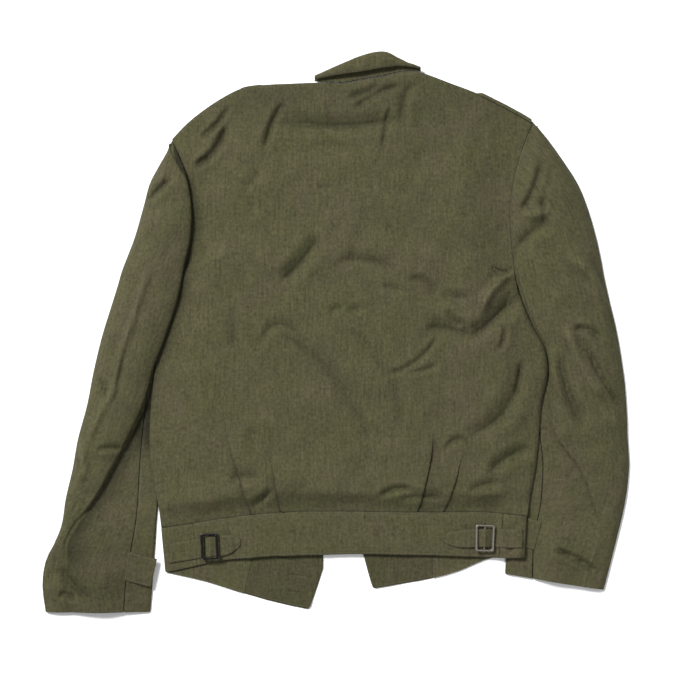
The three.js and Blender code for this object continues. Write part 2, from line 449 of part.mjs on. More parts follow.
// The section of a sleeve as one path: seam, shelf, tuck, lip, crown, outer edge, floor, inner edge.
function sleevePath(r) {
  const w = r.outer - r.lip;
  const tuck = r.lip + r.over;
  const climb = r.lipZ - r.shelf;
  const f = clamp(r.over / 5, 0, 1) * smooth((climb - 4) / 2.6);
  const steep = smooth((climb - 3) / 4);
  const low = r.shelf + 0.32 * climb;
  const part = (easy, sharp) => mix(r.seam, r.lip, mix(easy, sharp, steep));
  const high = (easy, sharp) => r.shelf + climb * mix(easy, sharp, steep);
  const dome = smooth((r.mid - r.shelf - 1.5) / 1.5) * (1 - f);
  const across = (t) => mix(r.seam, r.lip, t);
  const domed = (at, t, x, z) => [mix(x, across(at), dome), mix(z, mix(r.mid, r.lipZ, t), dome)];
  const bend = [
    [mix(part(0.3, 0.8), mix(r.seam, tuck, 0.5), f), mix(high(0.3, 0), r.mid, Math.max(f, steep))],
    [mix(part(0.6, 1.03), tuck + 0.6, f), mix(high(0.6, 0.3), low + 0.3, f)],
    [mix(part(0.8, 1), mix(tuck, r.lip, 0.5), f), mix(high(0.8, 0.7), mix(low, r.lipZ - 2.6, 0.75), f)],
    [mix(part(0.9, 0.99), r.lip + 1.1, f), mix(high(0.9, 0.92), r.lipZ - 3.1, f)],
  ];
  const key = [
    [r.seam, r.shelf],
    domed(0.38, 0, ...bend[0]),
    domed(0.66, 0.2, ...bend[1]),
    domed(0.84, 0.55, ...bend[2]),
    domed(0.94, 0.84, ...bend[3]),
    [r.lip, r.lipZ],
    [r.lip + 2.4, r.lipZ + 2.2 * f + 0.8],
    [r.lip + 0.2 * w + 0.6, mix(r.lipZ + 2, r.crown, 0.8)],
    [r.lip + 0.45 * w, r.crown],
    [r.lip + 0.7 * w, r.crown * 0.92],
    [r.lip + 0.88 * w, r.crown * 0.66],
    [r.outer - 0.6, Math.min(4.6, r.crown * 0.5)],
    [r.outer, 2.2],
    [r.outer - 1.6, 0.3],
    [r.outer - 4.4, 0],
  ];
  const curve = new THREE.CatmullRomCurve3(
    key.map(([x, z]) => new THREE.Vector3(x, z, 0)), false, "centripetal");
  const path = curve.getPoints(KEY_STEPS * (key.length - 1))
    .map((p) => new THREE.Vector2(p.x, Math.max(0, p.y)));
  const floorEnd = r.inner + (r.wrap > WRAP_LEAST ? 4 : 0);
  path.push(new THREE.Vector2(mix(r.outer, r.inner, 0.25), 0));
  path.push(new THREE.Vector2(mix(r.outer, r.inner, 0.55), 0));
  path.push(new THREE.Vector2(mix(r.outer, r.inner, 0.8), 0));
  path.push(new THREE.Vector2(floorEnd + SEAM_GAP, 0));
  if (r.wrap > WRAP_LEAST) {
    const turn = [[1.6, 0.3], [0.3, 1.3], [0, 2.4], [0.3, 3.4], [1.6, 4.3], [4, 4.6]];
    const most = r.seam - SEAM_GAP - 0.35;
    const hook = turn.map(([dx, dz]) => new THREE.Vector2(Math.min(r.inner + dx, most), dz));
    hook.push(new THREE.Vector2(Math.max(hook[5].x + 0.01, most), r.shelf));
    const turned = measured([path[path.length - 1], ...hook]);
    for (let i = 1; i <= 8; i++) path.push(pathPoint(turned, turned.length * r.wrap * i / 8));
  }
  return path;
}
function measured(path) {
  const at = [0];
  for (let i = 1; i < path.length; i++) at.push(at[i - 1] + path[i].distanceTo(path[i - 1]));
  return { path, at, length: at[at.length - 1] };
}
function pathPoint(m, s) {
  let i = 0;
  while (i < m.at.length - 2 && m.at[i + 1] < s) i++;
  const t = clamp((s - m.at[i]) / (m.at[i + 1] - m.at[i] || 1), 0, 1);
  return m.path[i].clone().lerp(m.path[i + 1], t);
}
// How far along the path the crown crosses a value, and where the floor does.
function crossing(m, across, onFloor) {
  for (let i = 40; i < m.path.length - 1; i++) {
    const a = m.path[i];
    const b = m.path[i + 1];
    const floor = a.y < 0.01 && b.y < 0.01;
    if (floor !== onFloor) continue;
    if ((a.x - across) * (b.x - across) <= 0) {
      return m.at[i] + (m.at[i + 1] - m.at[i]) * Math.abs((across - a.x) / (b.x - a.x || 1));
    }
  }
  return m.length * 0.5;
}
// Places along the path for a piece's columns: at the path's own corners, then evenly between.
function pieceStops(m, split, isFirst, splitOnFloor) {
  const corner = (k) => m.at[k * KEY_STEPS];
  const spread = (a, b, n) => Array.from({ length: n }, (_, i) => mix(a, b, (i + 1) / n));
  const folds = [0, 1, 2, 3, 4, 5, 6].map(corner);
  const outer = [10, 11, 12, 13, 14].map(corner);
  const turnStart = m.length - Math.max(m.turn, 3);
  const turn = [turnStart, ...spread(turnStart, m.length - SEAM_GAP, 5)];
  if (isFirst && !splitOnFloor) return [...folds, ...spread(corner(6), split, 4)];
  if (!isFirst && !splitOnFloor) {
    const edge = [12, 13, 14].map(corner);
    return [split, ...spread(split, corner(11), 4), ...edge, ...spread(corner(14), turnStart, 4), ...turn.slice(1)];
  }
  if (isFirst) return [...folds, ...spread(corner(6), corner(9), 5), ...outer, ...spread(corner(14), split, 3)];
  return [split, ...spread(split, turnStart, 3), ...turn.slice(1)];
}
function sleevePoint(side, r, p) {
  const x = side * p.x;
  const y = r.y + r.tilt * (r.outer - p.x);
  const above = smooth((p.y - 4.8) / 6);
  const edgeFade = smooth((r.outer - p.x) / 16);
  const nearArm = 0.25 + 0.75 * smooth((p.x - r.seam) / 20);
  const fold = foldHeight(x, y) * above * edgeFade * nearArm;
  return new THREE.Vector3(x, y, p.y < 0.02 ? 0 : Math.max(p.y + fold, Math.min(p.y, 4.6)));
}
function sleevePiece(side, part) {
  const t = sleeveTable(side);
  const first = t[0].y;
  const last = t[t.length - 1].y;
  const isFirst = (side < 0) === (part === "under");
  const pts = steps(SLEEVE_ROWS).map((v) => {
    const r = sleeveRow(side, mix(first, last, v));
    const m = measured(sleevePath(r));
    m.turn = m.length - m.at[m.path.length - (r.wrap > WRAP_LEAST ? 9 : 1)];
    const split = side < 0
      ? crossing(m, r.parting, false)
      : crossing(m, mix(r.outer, r.inner, 0.42), true);
    const gap = SEAM_GAP * (1 + 5 * smooth((r.y - 196) / 30));
    const own = split + (isFirst ? -gap : gap) / 2;
    const stops = pieceStops(m, own, isFirst, side > 0);
    const before = isFirst ? -2 : stops[0] - 2;
    const after = isFirst ? stops[stops.length - 1] + 2 : m.length + 2;
    return [before, ...stops, after].map((s) => {
      const inside = pathPoint(m, clamp(s, 0, m.length));
      if (s < 0) inside.add(m.path[0].clone().sub(m.path[3]).setLength(2));
      if (s > m.length) {
        const n = m.path.length;
        inside.add(m.path[n - 1].clone().sub(m.path[n - 2]).setLength(2));
      }
      return sleevePoint(side, r, inside);
    });
  });
  const turned = pts.map((row) => (side > 0 ? row : row.slice().reverse())).reverse();
  return sheetSolid(turned, CLOTH, false, 1);
}

// ---- Collar: a stand that rises from the neck, folds over and falls back ----
const COLLAR = [
  { x: -28, fold: 336.4, fall: 330.6, neck: 328.7, z: 8.4, rise: 5 },
  { x: -8, fold: 345, fall: 334.5, neck: 327.9, z: 10.6, rise: 7.2 },
  { x: 11, fold: 353, fall: 337.5, neck: 327.6, z: 12, rise: 8.4 },
  { x: 31, fold: 361, fall: 340, neck: 331.6, z: 12.4, rise: 8.8 },
  { x: 50, fold: 366.2, fall: 343.5, neck: 334.8, z: 12.4, rise: 8.8 },
  { x: 66, fold: 366.4, fall: 346, neck: 337.8, z: 12, rise: 8.4 },
  { x: 83, fold: 358, fall: 347.8, neck: 341.6, z: 10.8, rise: 7.4 },
  { x: 98, fold: 352, fall: 346.4, neck: 342.8, z: 9.6, rise: 6 },
  { x: 110, fold: 348.4, fall: 344.4, neck: 341.6, z: 8.4, rise: 5 },
];
function collarPoint(x, s) {
  const g = (name) => column(COLLAR, "x", name, x);
  const neck = g("neck") + SEAM_GAP;
  const fold = g("fold");
  const fall = g("fall");
  const z = g("z");
  const rise = g("rise");
  const base = z - 1;
  const depth = fold - neck;
  const key = [
    [neck, base - 0.2 * rise],
    [mix(neck, fold, 0.35), base - 0.34 * rise],
    [mix(neck, fold, 0.75), base - 0.3 * rise],
    [fold - 0.06 * depth - 0.2, base + 0.02 * rise],
    [fold, base + 0.32 * rise],
    [fold - 0.05 * depth - 0.2, base + 0.66 * rise],
    [mix(fold, fall, 0.35), base + 0.96 * rise],
    [mix(fold, fall, 0.7), base + 1.0 * rise],
    [fall, base + 0.86 * rise],
  ];
  const curve = new THREE.CatmullRomCurve3(
    key.map(([a, b]) => new THREE.Vector3(a, b, 0)), false, "centripetal");
  const p = curve.getPoint(s);
  return new THREE.Vector3(x, p.x, p.y);
}
function collar() {
  const pts = grid(steps(15), steps(12), (a, s) => collarPoint(mix(COLLAR[0].x, COLLAR[COLLAR.length - 1].x, a), s));
  return sheetSolid(pts.reverse(), 1.2, false);
}

// ---- Waistband: five lengths joined end to end ----
const BAND_BACK = { left: { top: -187, hem: -181 }, right: { top: 217, hem: 211 } };
function waistbandBack() {
  const us = [...steps(13).map((t) => t * 0.83), ...steps(8).slice(1).map((t) => 0.83 + 0.17 * t)];
  const pts = grid(us, steps(3), (u, v) => {
    const x = mix(mix(BAND_BACK.left.hem, BAND_BACK.right.hem, u),
      mix(BAND_BACK.left.top, BAND_BACK.right.top, u), v);
    const y = mix(column(HEM_EDGE, "x", "y", x), column(WAIST_SEAM, "x", "y", x) - SEAM_GAP, v);
    return new THREE.Vector3(x, y, bandTop(x, y));
  });
  return sheetSolid(pts, BAND_WALL, true);
}
// A length of band that turns round the side and runs along the floor to the front edge.
// Rows run from the back joint to the front edge; low is the layer under it.
const BAND_WRAP = {
  left: [
    { topX: -187.3, topY: -246.7, hemX: -181.3, hemY: -301.3, level: 1 },
    { topX: -206, topY: -249.4, hemX: -200, hemY: -305.5, level: 1 },
    { topX: -221, topY: -251.6, hemX: -215, hemY: -308.6, level: 1 },
    { topX: -226.6, topY: -252.4, hemX: -220.8, hemY: -309.8, level: 0.86 },
    { topX: -228.4, topY: -252.8, hemX: -222.8, hemY: -310.2, level: 0.5 },
    { topX: -226.6, topY: -253.6, hemX: -220.6, hemY: -310.8, level: 0.14 },
    { topX: -221, topY: -254.8, hemX: -213, hemY: -312.6, level: 0 },
    { topX: -190, topY: -262.6, hemX: -172, hemY: -322, level: 0 },
    { topX: -150, topY: -272, hemX: -140, hemY: -332, level: 0 },
    { topX: -108, topY: -283, hemX: -120.5, hemY: -338, level: 0 },
    { topX: -64, topY: -293.6, hemX: -76, hemY: -350.4, level: 0 },
    { topX: -17, topY: -304.6, hemX: -33, hemY: -359.4, level: 0 },
  ],
  right: [
    { topX: 217.7, topY: -233.4, hemX: 211.7, hemY: -291, level: 1 },
    { topX: 230, topY: -234.6, hemX: 225, hemY: -290.8, level: 1 },
    { topX: 241, topY: -235.8, hemX: 238, hemY: -290.4, level: 1 },
    { topX: 246.4, topY: -236.6, hemX: 243.4, hemY: -289.8, level: 0.86 },
    { topX: 248, topY: -237, hemX: 245, hemY: -289.6, level: 0.5 },
    { topX: 246.4, topY: -237.4, hemX: 243.4, hemY: -289.8, level: 0.14 },
    { topX: 241, topY: -238.4, hemX: 237, hemY: -290.2, level: 0 },
    { topX: 214, topY: -241.6, hemX: 200, hemY: -292.6, level: 0 },
    { topX: 170, topY: -249, hemX: 160, hemY: -308.6, level: 0 },
    { topX: 124, topY: -259, hemX: 127, hemY: -318, level: 0 },
    { topX: 78, topY: -268, hemX: 86, hemY: -325.6, level: 0 },
    { topX: 33, topY: -277, hemX: 46, hemY: -332.4, level: 0 },
  ],
};
const BAND_JOINT = 9;
function bandRail(side, t) {
  const rows = (side < 0 ? BAND_WRAP.left : BAND_WRAP.right).map((r, i) => ({ ...r, i }));
  const g = (name) => column(rows, "i", name, t);
  return { topX: g("topX"), topY: g("topY"), hemX: g("hemX"), hemY: g("hemY"), level: clamp(g("level"), 0, 1) };
}
function bandPoint(side, t, s) {
  const r = bandRail(side, t);
  const x = mix(r.hemX, r.topX, s);
  const y = mix(r.hemY, r.topY, s);
  const below = lift(x, y);
  return new THREE.Vector3(x, y, below + (bandTop(x, y) - below) * r.level);
}
function bandLength(side, from, to) {
  const ts = [];
  for (let t = from; t < to - 1e-6; t += 0.5) ts.push(t);
  ts.push(to);
  const pts = grid(ts, steps(4), (t, s) => bandPoint(side, t, s));
  if (side < 0) pts.forEach((row) => row.reverse());
  return sheetSolid(pts, BAND_WALL, false);
}

// ---- Strips laid on the band: built from the band's own points, moved out ----
function strip(rail, out, wall, across, along) {
  const pts = grid(steps(along), steps(across), (t, s) => {
    const r = rail(t);
    const x = mix(r.low[0], r.high[0], s);
    const y = mix(r.low[1], r.high[1], s);
    return new THREE.Vector3(x, y, bandTop(x, y) + out(x, t) + wall);
  });
  return sheetSolid(pts, wall, true);
}
const BUCKLES = {
  left: { x: -164, y: -275.5, turn: 0.05, long: 34, wide: 24 },
  right: { x: 193, y: -264.5, turn: -0.03, long: 34.5, wide: 24 },
};
const STRAPS = {
  left: [
    { x: -217, high: -272.4, low: -298 }, { x: -190, high: -267.6, low: -293.6 },
    { x: -170, high: -264, low: -290 }, { x: -146, high: -260.8, low: -287.6 },
    { x: -134, high: -261.4, low: -280.6 }, { x: -124, high: -267, low: -272 },
  ],
  right: [
    { x: 242, high: -252.6, low: -277.4 }, { x: 214, high: -252.6, low: -277 },
    { x: 193, high: -252.8, low: -276.6 }, { x: 165, high: -254, low: -277 },
    { x: 150, high: -257.4, low: -274.4 }, { x: 139.4, high: -263.4, low: -268 },
  ],
};
function adjusterStrap(side) {
  const rows = side < 0 ? STRAPS.left : STRAPS.right;
  const b = side < 0 ? BUCKLES.left : BUCKLES.right;
  const a = rows[0].x;
  const z = rows[rows.length - 1].x;
  const rail = (t) => {
    const x = side < 0 ? mix(a, z, t) : mix(z, a, t);
    return { low: [x, column(rows, "x", "low", x)], high: [x, column(rows, "x", "high", x)] };
  };
  const tab = side < 0 ? BUCKLE_TABS.left : BUCKLE_TABS.right;
  const out = (x) => {
    const hump = Math.exp(-0.5 * ((x - b.x) / 2.7) ** 2);
    const onTab = smooth((x - tab.from + 9) / 6) * smooth((tab.to + 9 - x) / 6);
    return SEAM_GAP + 0.15 + (TAB_WALL + SEAM_GAP) * onTab + 2.6 * hump;
  };
  return strip(rail, out, STRAP_WALL, 3, 26);
}
const BUCKLE_TABS = {
  left: { from: -164.8, to: -138.6, low: -288.4, high: -257.2 },
  right: { from: 163.4, to: 193.8, low: -278.6, high: -246.6 },
};
function buckleTab(side) {
  const r = side < 0 ? BUCKLE_TABS.left : BUCKLE_TABS.right;
  const slant = side < 0 ? 1.4 : 2.2;
  const rail = (t) => {
    const x = mix(r.from, r.to, t);
    return { low: [x, r.low + slant * t], high: [x, r.high + slant * t * 0.5] };
  };
  return strip(rail, () => SEAM_GAP, TAB_WALL, 3, 6);
}
function cuffTabRail(c) {
  return (t) => ({
    low: [mix(c[0][0], c[1][0], t), mix(c[0][1], c[1][1], t)],
    high: [mix(c[3][0], c[2][0], t), mix(c[3][1], c[2][1], t)],
  });
}

// ---- Buckles: a flat frame with a bar set low across its middle ----
const { Manifold, CrossSection, Mesh } = await (async () => {
  const wasm = await ManifoldModule();
  wasm.setup();
  return wasm;
})();
function roundedRect(w, h, r) {
  return CrossSection.square([w - 2 * r, h - 2 * r], true).offset(r, "Round", 2, 20);
}
function buckle(side) {
  const b = side < 0 ? BUCKLES.left : BUCKLES.right;
  const base = bandTop(b.x, b.y) + SEAM_GAP;
  const frameZ = base + TAB_WALL + SEAM_GAP + STRAP_WALL + SEAM_GAP + 1.5;
  const slope = (bandTop(b.x + 11, b.y) - bandTop(b.x - 11, b.y)) / 22;
  const ring = roundedRect(b.wide, b.long, 2.4).subtract(roundedRect(b.wide - 9, b.long - 6, 1.6));
  const frame = Manifold.extrude(ring, BUCKLE_WALL);
  const barLow = TAB_WALL + SEAM_GAP + 0.3 - (frameZ - base);
  const bar = Manifold.cube([2.4, b.long - 4, 1.5], true).translate([0, 0, barLow + 0.75]);
  const postTall = BUCKLE_WALL - barLow - 0.4;
  const post = Manifold.cube([2.4, 2.2, postTall], true);
  const postZ = barLow + postTall / 2;
  const ends = [-1, 1].map((s) => post.translate([0, s * (b.long / 2 - 1.7), postZ]));
  const whole = Manifold.union([frame, bar, ...ends])
    .rotate([0, -Math.atan(slope) * 180 / Math.PI, b.turn * 180 / Math.PI])
    .translate([b.x, b.y, frameZ]);
  const mesh = whole.getMesh();
  const geometry = new THREE.BufferGeometry();
  geometry.setAttribute("position", new THREE.Float32BufferAttribute(mesh.vertProperties, 3));
  geometry.setIndex(Array.from(mesh.triVerts));
  return geometry;
}

// ---- Cuff tabs ----
const CUFF_TABS = {
  left: [[-276, -319.6], [-241, -329], [-233, -292.4], [-271.4, -282.4]],
  right: [[239.6, -277], [258, -280.6], [267, -244], [249, -239]],
};
function sleeveTop(side, x, y) {
  const r = sleeveRow(side, y);
  const path = sleevePath(r);
  let best = 0;
  const ax = side * x;
  for (let i = 0; i < path.length - 1; i++) {
    const a = path[i];
    const b = path[i + 1];
    if ((a.x - ax) * (b.x - ax) <= 0 && a.x !== b.x) {
      best = Math.max(best, mix(a.y, b.y, (ax - a.x) / (b.x - a.x)));
    }
  }
  return best;
}
function cuffTab(side) {
  const rail = cuffTabRail(side < 0 ? CUFF_TABS.left : CUFF_TABS.right);
  const pts = grid(steps(5), steps(5), (t, s) => {
    const r = rail(t);
    const x = mix(r.low[0], r.high[0], s);
    const y = mix(r.low[1], r.high[1], s);
    const row = sleeveRow(side, y);
    const inside = Math.max(side * x, row.inner + 6);
    const z = Math.max(sleeveTop(side, side * inside, y), row.shelf);
    return new THREE.Vector3(x, y, z + SEAM_GAP + 0.6 + TAB_WALL);
  });
  return sheetSolid(pts, TAB_WALL, true);
}

// ---- Shoulder straps: a narrow run shows along the shoulder, the rest lies under the front ----
function shoulderStrapRight() {
  const from = 150;
  const to = 254;
  const pts = grid(steps(10), steps(10), (t, s) => {
    const x = mix(from, to, t);
    const edge = column(TOP_EDGE, "x", "y", x);
    const slope = (column(TOP_EDGE, "x", "y", x + 1) - column(TOP_EDGE, "x", "y", x - 1)) / 2;
    const nx = -slope / Math.hypot(1, slope);
    const ny = 1 / Math.hypot(1, slope);
    const tip = 0.35 + 0.65 * smooth(t / 0.12);
    const rest = column(TOP_HEIGHT, "x", "z", x) + STRAP_WALL * 2 + SEAM_GAP + 0.5;
    const onBack = (d) => rest + (BACK_LOFT - EDGE_STACK) * shoulderRoll(d);
    const key = [
      [-42, 0], [-20, 0], [-2, 0], [1.8, 0.6], [2.8, 2.6], [2.9, rest - 2],
      [1.2, rest], [-2.5 * tip, onBack(3)], [-6 * tip, onBack(6)], [-10.5 * tip, onBack(10)],
    ];
    const k = s * (key.length - 1);
    const i = Math.min(key.length - 2, Math.floor(k));
    const off = mix(key[i][0], key[i + 1][0], k - i);
    const z = mix(key[i][1], key[i + 1][1], k - i);
    return new THREE.Vector3(x + nx * off, edge + ny * off, z);
  });
  pts.forEach((row) => row.reverse());
  return sheetSolid(pts, STRAP_WALL, false);
}
function shoulderStrapLeft() {
  const pts = grid(steps(8), steps(3), (t, s) => {
    const x = mix(-182, -94, t);
    const edge = column(TOP_EDGE, "x", "y", x);
    const out = 2.6 * smooth((x + 134) / 12) * smooth((-93 - x) / 6) - 1.5;
    return new THREE.Vector3(x, edge + mix(-44, out, s), STRAP_WALL);
  });
  return sheetSolid(pts, STRAP_WALL, true);
}

// ---- Assembly ----
const SERGE = 0x5a5640;
const SERGE_WARM = 0x5f5b44;
const SERGE_DARK = 0x4f4c36;
const BRONZE = 0x3a3328;
const jacket = new THREE.Group();
jacket.name = "wool_field_jacket";
function add(name, geometry, color, roughness, metalness) {
  const mesh = new THREE.Mesh(geometry, new THREE.MeshStandardMaterial({ color, roughness, metalness }));
  mesh.name = name;
  jacket.add(mesh);
}
add("back_panel", backPanel(), SERGE, 0.95, 0);
add("front_left", frontPanel(-1), SERGE_DARK, 0.95, 0);
add("front_right", frontPanel(1), SERGE_DARK, 0.95, 0);
add("topsleeve_left", sleevePiece(-1, "top"), SERGE_WARM, 0.95, 0);
add("undersleeve_left", sleevePiece(-1, "under"), SERGE, 0.95, 0);
add("topsleeve_right", sleevePiece(1, "top"), SERGE_WARM, 0.95, 0);
add("undersleeve_right", sleevePiece(1, "under"), SERGE, 0.95, 0);
add("collar", collar(), SERGE_WARM, 0.95, 0);
add("waistband_back", waistbandBack(), SERGE, 0.95, 0);
add("waistband_side_left", bandLength(-1, 0, BAND_JOINT), SERGE, 0.95, 0);
add("waistband_front_left", bandLength(-1, BAND_JOINT + 0.007, 11), SERGE_DARK, 0.95, 0);
add("waistband_side_right", bandLength(1, 0, BAND_JOINT), SERGE, 0.95, 0);
add("waistband_front_right", bandLength(1, BAND_JOINT + 0.007, 11), SERGE_DARK, 0.95, 0);
add("adjuster_strap_left", adjusterStrap(-1), SERGE_WARM, 0.95, 0);
add("adjuster_strap_right", adjusterStrap(1), SERGE_WARM, 0.95, 0);
add("buckle_tab_left", buckleTab(-1), SERGE_DARK, 0.95, 0);
add("buckle_tab_right", buckleTab(1), SERGE_DARK, 0.95, 0);
add("buckle_left", buckle(-1), BRONZE, 0.45, 1);
add("buckle_right", buckle(1), BRONZE, 0.45, 1);
add("cuff_tab_left", cuffTab(-1), SERGE_WARM, 0.95, 0);
add("cuff_tab_right", cuffTab(1), SERGE_WARM, 0.95, 0);
add("shoulder_strap_left", shoulderStrapLeft(), SERGE_WARM, 0.95, 0);
add("shoulder_strap_right", shoulderStrapRight(), SERGE_WARM, 0.95, 0);

// Centre the jacket on the origin, with its lowest face on the floor.
const box = new THREE.Box3().setFromObject(jacket);
const shiftX = -(box.min.x + box.max.x) / 2;
const shiftY = -(box.min.y + box.max.y) / 2;
jacket.children.forEach((mesh) => mesh.geometry.translate(shiftX, shiftY, -box.min.z));

export default jacket;
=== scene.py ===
import math

import bmesh
import bpy
import numpy as np
from bpy.props import FloatProperty, FloatVectorProperty, PointerProperty
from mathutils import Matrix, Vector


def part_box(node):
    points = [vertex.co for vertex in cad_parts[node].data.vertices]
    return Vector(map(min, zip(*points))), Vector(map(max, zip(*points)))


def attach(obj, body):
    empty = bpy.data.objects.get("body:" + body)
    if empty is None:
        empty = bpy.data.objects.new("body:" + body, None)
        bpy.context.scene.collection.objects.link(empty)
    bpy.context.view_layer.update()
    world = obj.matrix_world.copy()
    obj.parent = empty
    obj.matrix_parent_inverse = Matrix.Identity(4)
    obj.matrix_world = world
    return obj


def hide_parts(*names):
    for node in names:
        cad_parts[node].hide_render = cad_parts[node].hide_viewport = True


bl_info = {
    "name": "Wool field jacket",
    "version": (1, 0, 0),
    "blender": (4, 5, 0),
    "location": "View3D > Sidebar > Jacket",
    "description": "Dresses the packed solids of a short wool jacket laid flat on its front",
    "category": "Object",
}

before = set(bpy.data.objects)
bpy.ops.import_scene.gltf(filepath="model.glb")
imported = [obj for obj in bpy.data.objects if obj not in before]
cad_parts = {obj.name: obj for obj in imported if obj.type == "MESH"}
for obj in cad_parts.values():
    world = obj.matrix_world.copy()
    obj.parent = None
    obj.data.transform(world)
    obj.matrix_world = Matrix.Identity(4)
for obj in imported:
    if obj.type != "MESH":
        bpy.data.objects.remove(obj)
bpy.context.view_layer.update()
MM = 0.001

# ---- Sizes shared with the solids, in mm ----
CLOTH = 1.5
BAND_WALL = 2.2
SEAM_GAP = 0.3
FRONT_WALL = 1.4
LIFT_HEIGHT = 5.1
LIFT_RUN = 21
EDGE_STACK = FRONT_WALL + SEAM_GAP + CLOTH
BACK_LOFT = 15.5
BAND_REST = 3.7
BAND_ARCH = 3.4
STRAP_WALL = 1.7
TAB_WALL = 1.3
TAB_BUMP = 2.3
BUCKLE_WALL = 2.0


# ---- Fineness and wear of the cloth ----
KEY_STEPS = 8        # points from one corner of a sleeve's section to the next
LIP_CORNER = 5       # the corner of that section which is the sleeve's lip
FINE = 2.1           # widest step along a sleeve's section, in mm
WRAP_LEAST = 0.35    # a sleeve less closed than this has no turned inner edge
RIM_ANGLE = 68       # corners sharper than this, in degrees, stay sharp
STITCH_PULL = 0.4    # how far a row of stitches draws the cloth in, in mm
# Painted shadow along an edge that rolls under:
EDGE_PAINTED_SHADOW = 1.5      # how dark a rolled edge is for each mm that it rolls
SIDES = ((-1, "left"), (1, "right"))
ALL_EDGES = ("low", "high", "left", "right")


# ---- Number helpers, for single numbers and arrays alike ----
def mix(a, b, t):
    return a + (b - a) * t


def smooth(t):
    s = np.clip(t, 0, 1)
    return s * s * (3 - 2 * s)


class Table:
    """Rows of named columns, read along a smooth curve through the rows."""

    def __init__(self, names, rows):
        self.names = names.split()
        self.rows = np.array(rows, float)

    def at(self, key, name, value):
        k = self.rows[:, self.names.index(key)]
        c = self.rows[:, self.names.index(name)]
        if k[0] > k[-1]:
            k, c = k[::-1], c[::-1]
        n = len(k)
        value = np.asarray(value, float)
        i = np.clip(np.searchsorted(k, value, side="left") - 1, 0, n - 2)
        slope = np.empty(n)
        slope[0] = (c[1] - c[0]) / (k[1] - k[0])
        slope[-1] = (c[-1] - c[-2]) / (k[-1] - k[-2])
        slope[1:-1] = (c[2:] - c[:-2]) / (k[2:] - k[:-2])
        h = k[i + 1] - k[i]
        t = np.clip((value - k[i]) / h, 0, 1)
        t2, t3 = t * t, t * t * t
        return ((2 * t3 - 3 * t2 + 1) * c[i] + (t3 - 2 * t2 + t) * h * slope[i]
                + (3 * t2 - 2 * t3) * c[i + 1] + (t3 - t2) * h * slope[i + 1])


# ---- Outline of the body ----
BODY_LEFT = Table("y x", [
    (-252, -228), (-215, -233), (-176, -240), (-137, -243), (-92, -241), (-46, -236), (0, -229),
    (41, -220), (84, -211), (126, -203), (168, -197), (203, -195), (233, -204), (254, -214)])
BODY_RIGHT = Table("y x", [
    (-236, 248), (-209, 253), (-170, 260), (-131, 264), (-92, 267), (-53, 275), (-20, 272),
    (15, 254), (58, 236), (99, 230), (138, 226), (181, 227), (223, 236), (255, 247), (276, 256)])
WAIST_SEAM = Table("x y", [
    (-228, -252), (-193, -247), (-151, -240), (-112, -235), (-67, -231), (-8, -230), (83, -231),
    (150, -231), (187, -231), (217, -233), (248, -236)])
TOP_EDGE = Table("x y", [
    (-214, 254), (-196, 273), (-177, 289), (-154, 305), (-130, 318), (-114, 323), (-80, 326),
    (-24, 328), (11, 327), (31, 331), (57, 335), (83, 341), (104, 342), (120, 338), (147, 328),
    (184, 314), (219, 297), (243, 284), (256, 276)])
HEM_EDGE = Table("x y", [
    (-222, -310), (-180, -301), (-145, -294), (-112, -291), (-86, -289), (-13, -287), (31, -286),
    (83, -287), (135, -288), (187, -290), (222, -291), (245, -290)])
TOP_HEIGHT = Table("x z", [
    (-214, 3.2), (-130, 3.6), (-60, 4.6), (-24, 7), (20, 10), (60, 11), (100, 9), (125, 5.5),
    (150, 4.4), (256, 3.2)])
ARMHOLE_HEIGHT = Table("y left right", [
    (-20, 0, 0), (50, 1.0, 0.6), (77, 2.6, 3), (126, 5.4, 8), (170, 6.4, 9.6), (203, 5.4, 9),
    (233, 2.6, 6), (254, 0, 2.6), (276, 0, 0)])

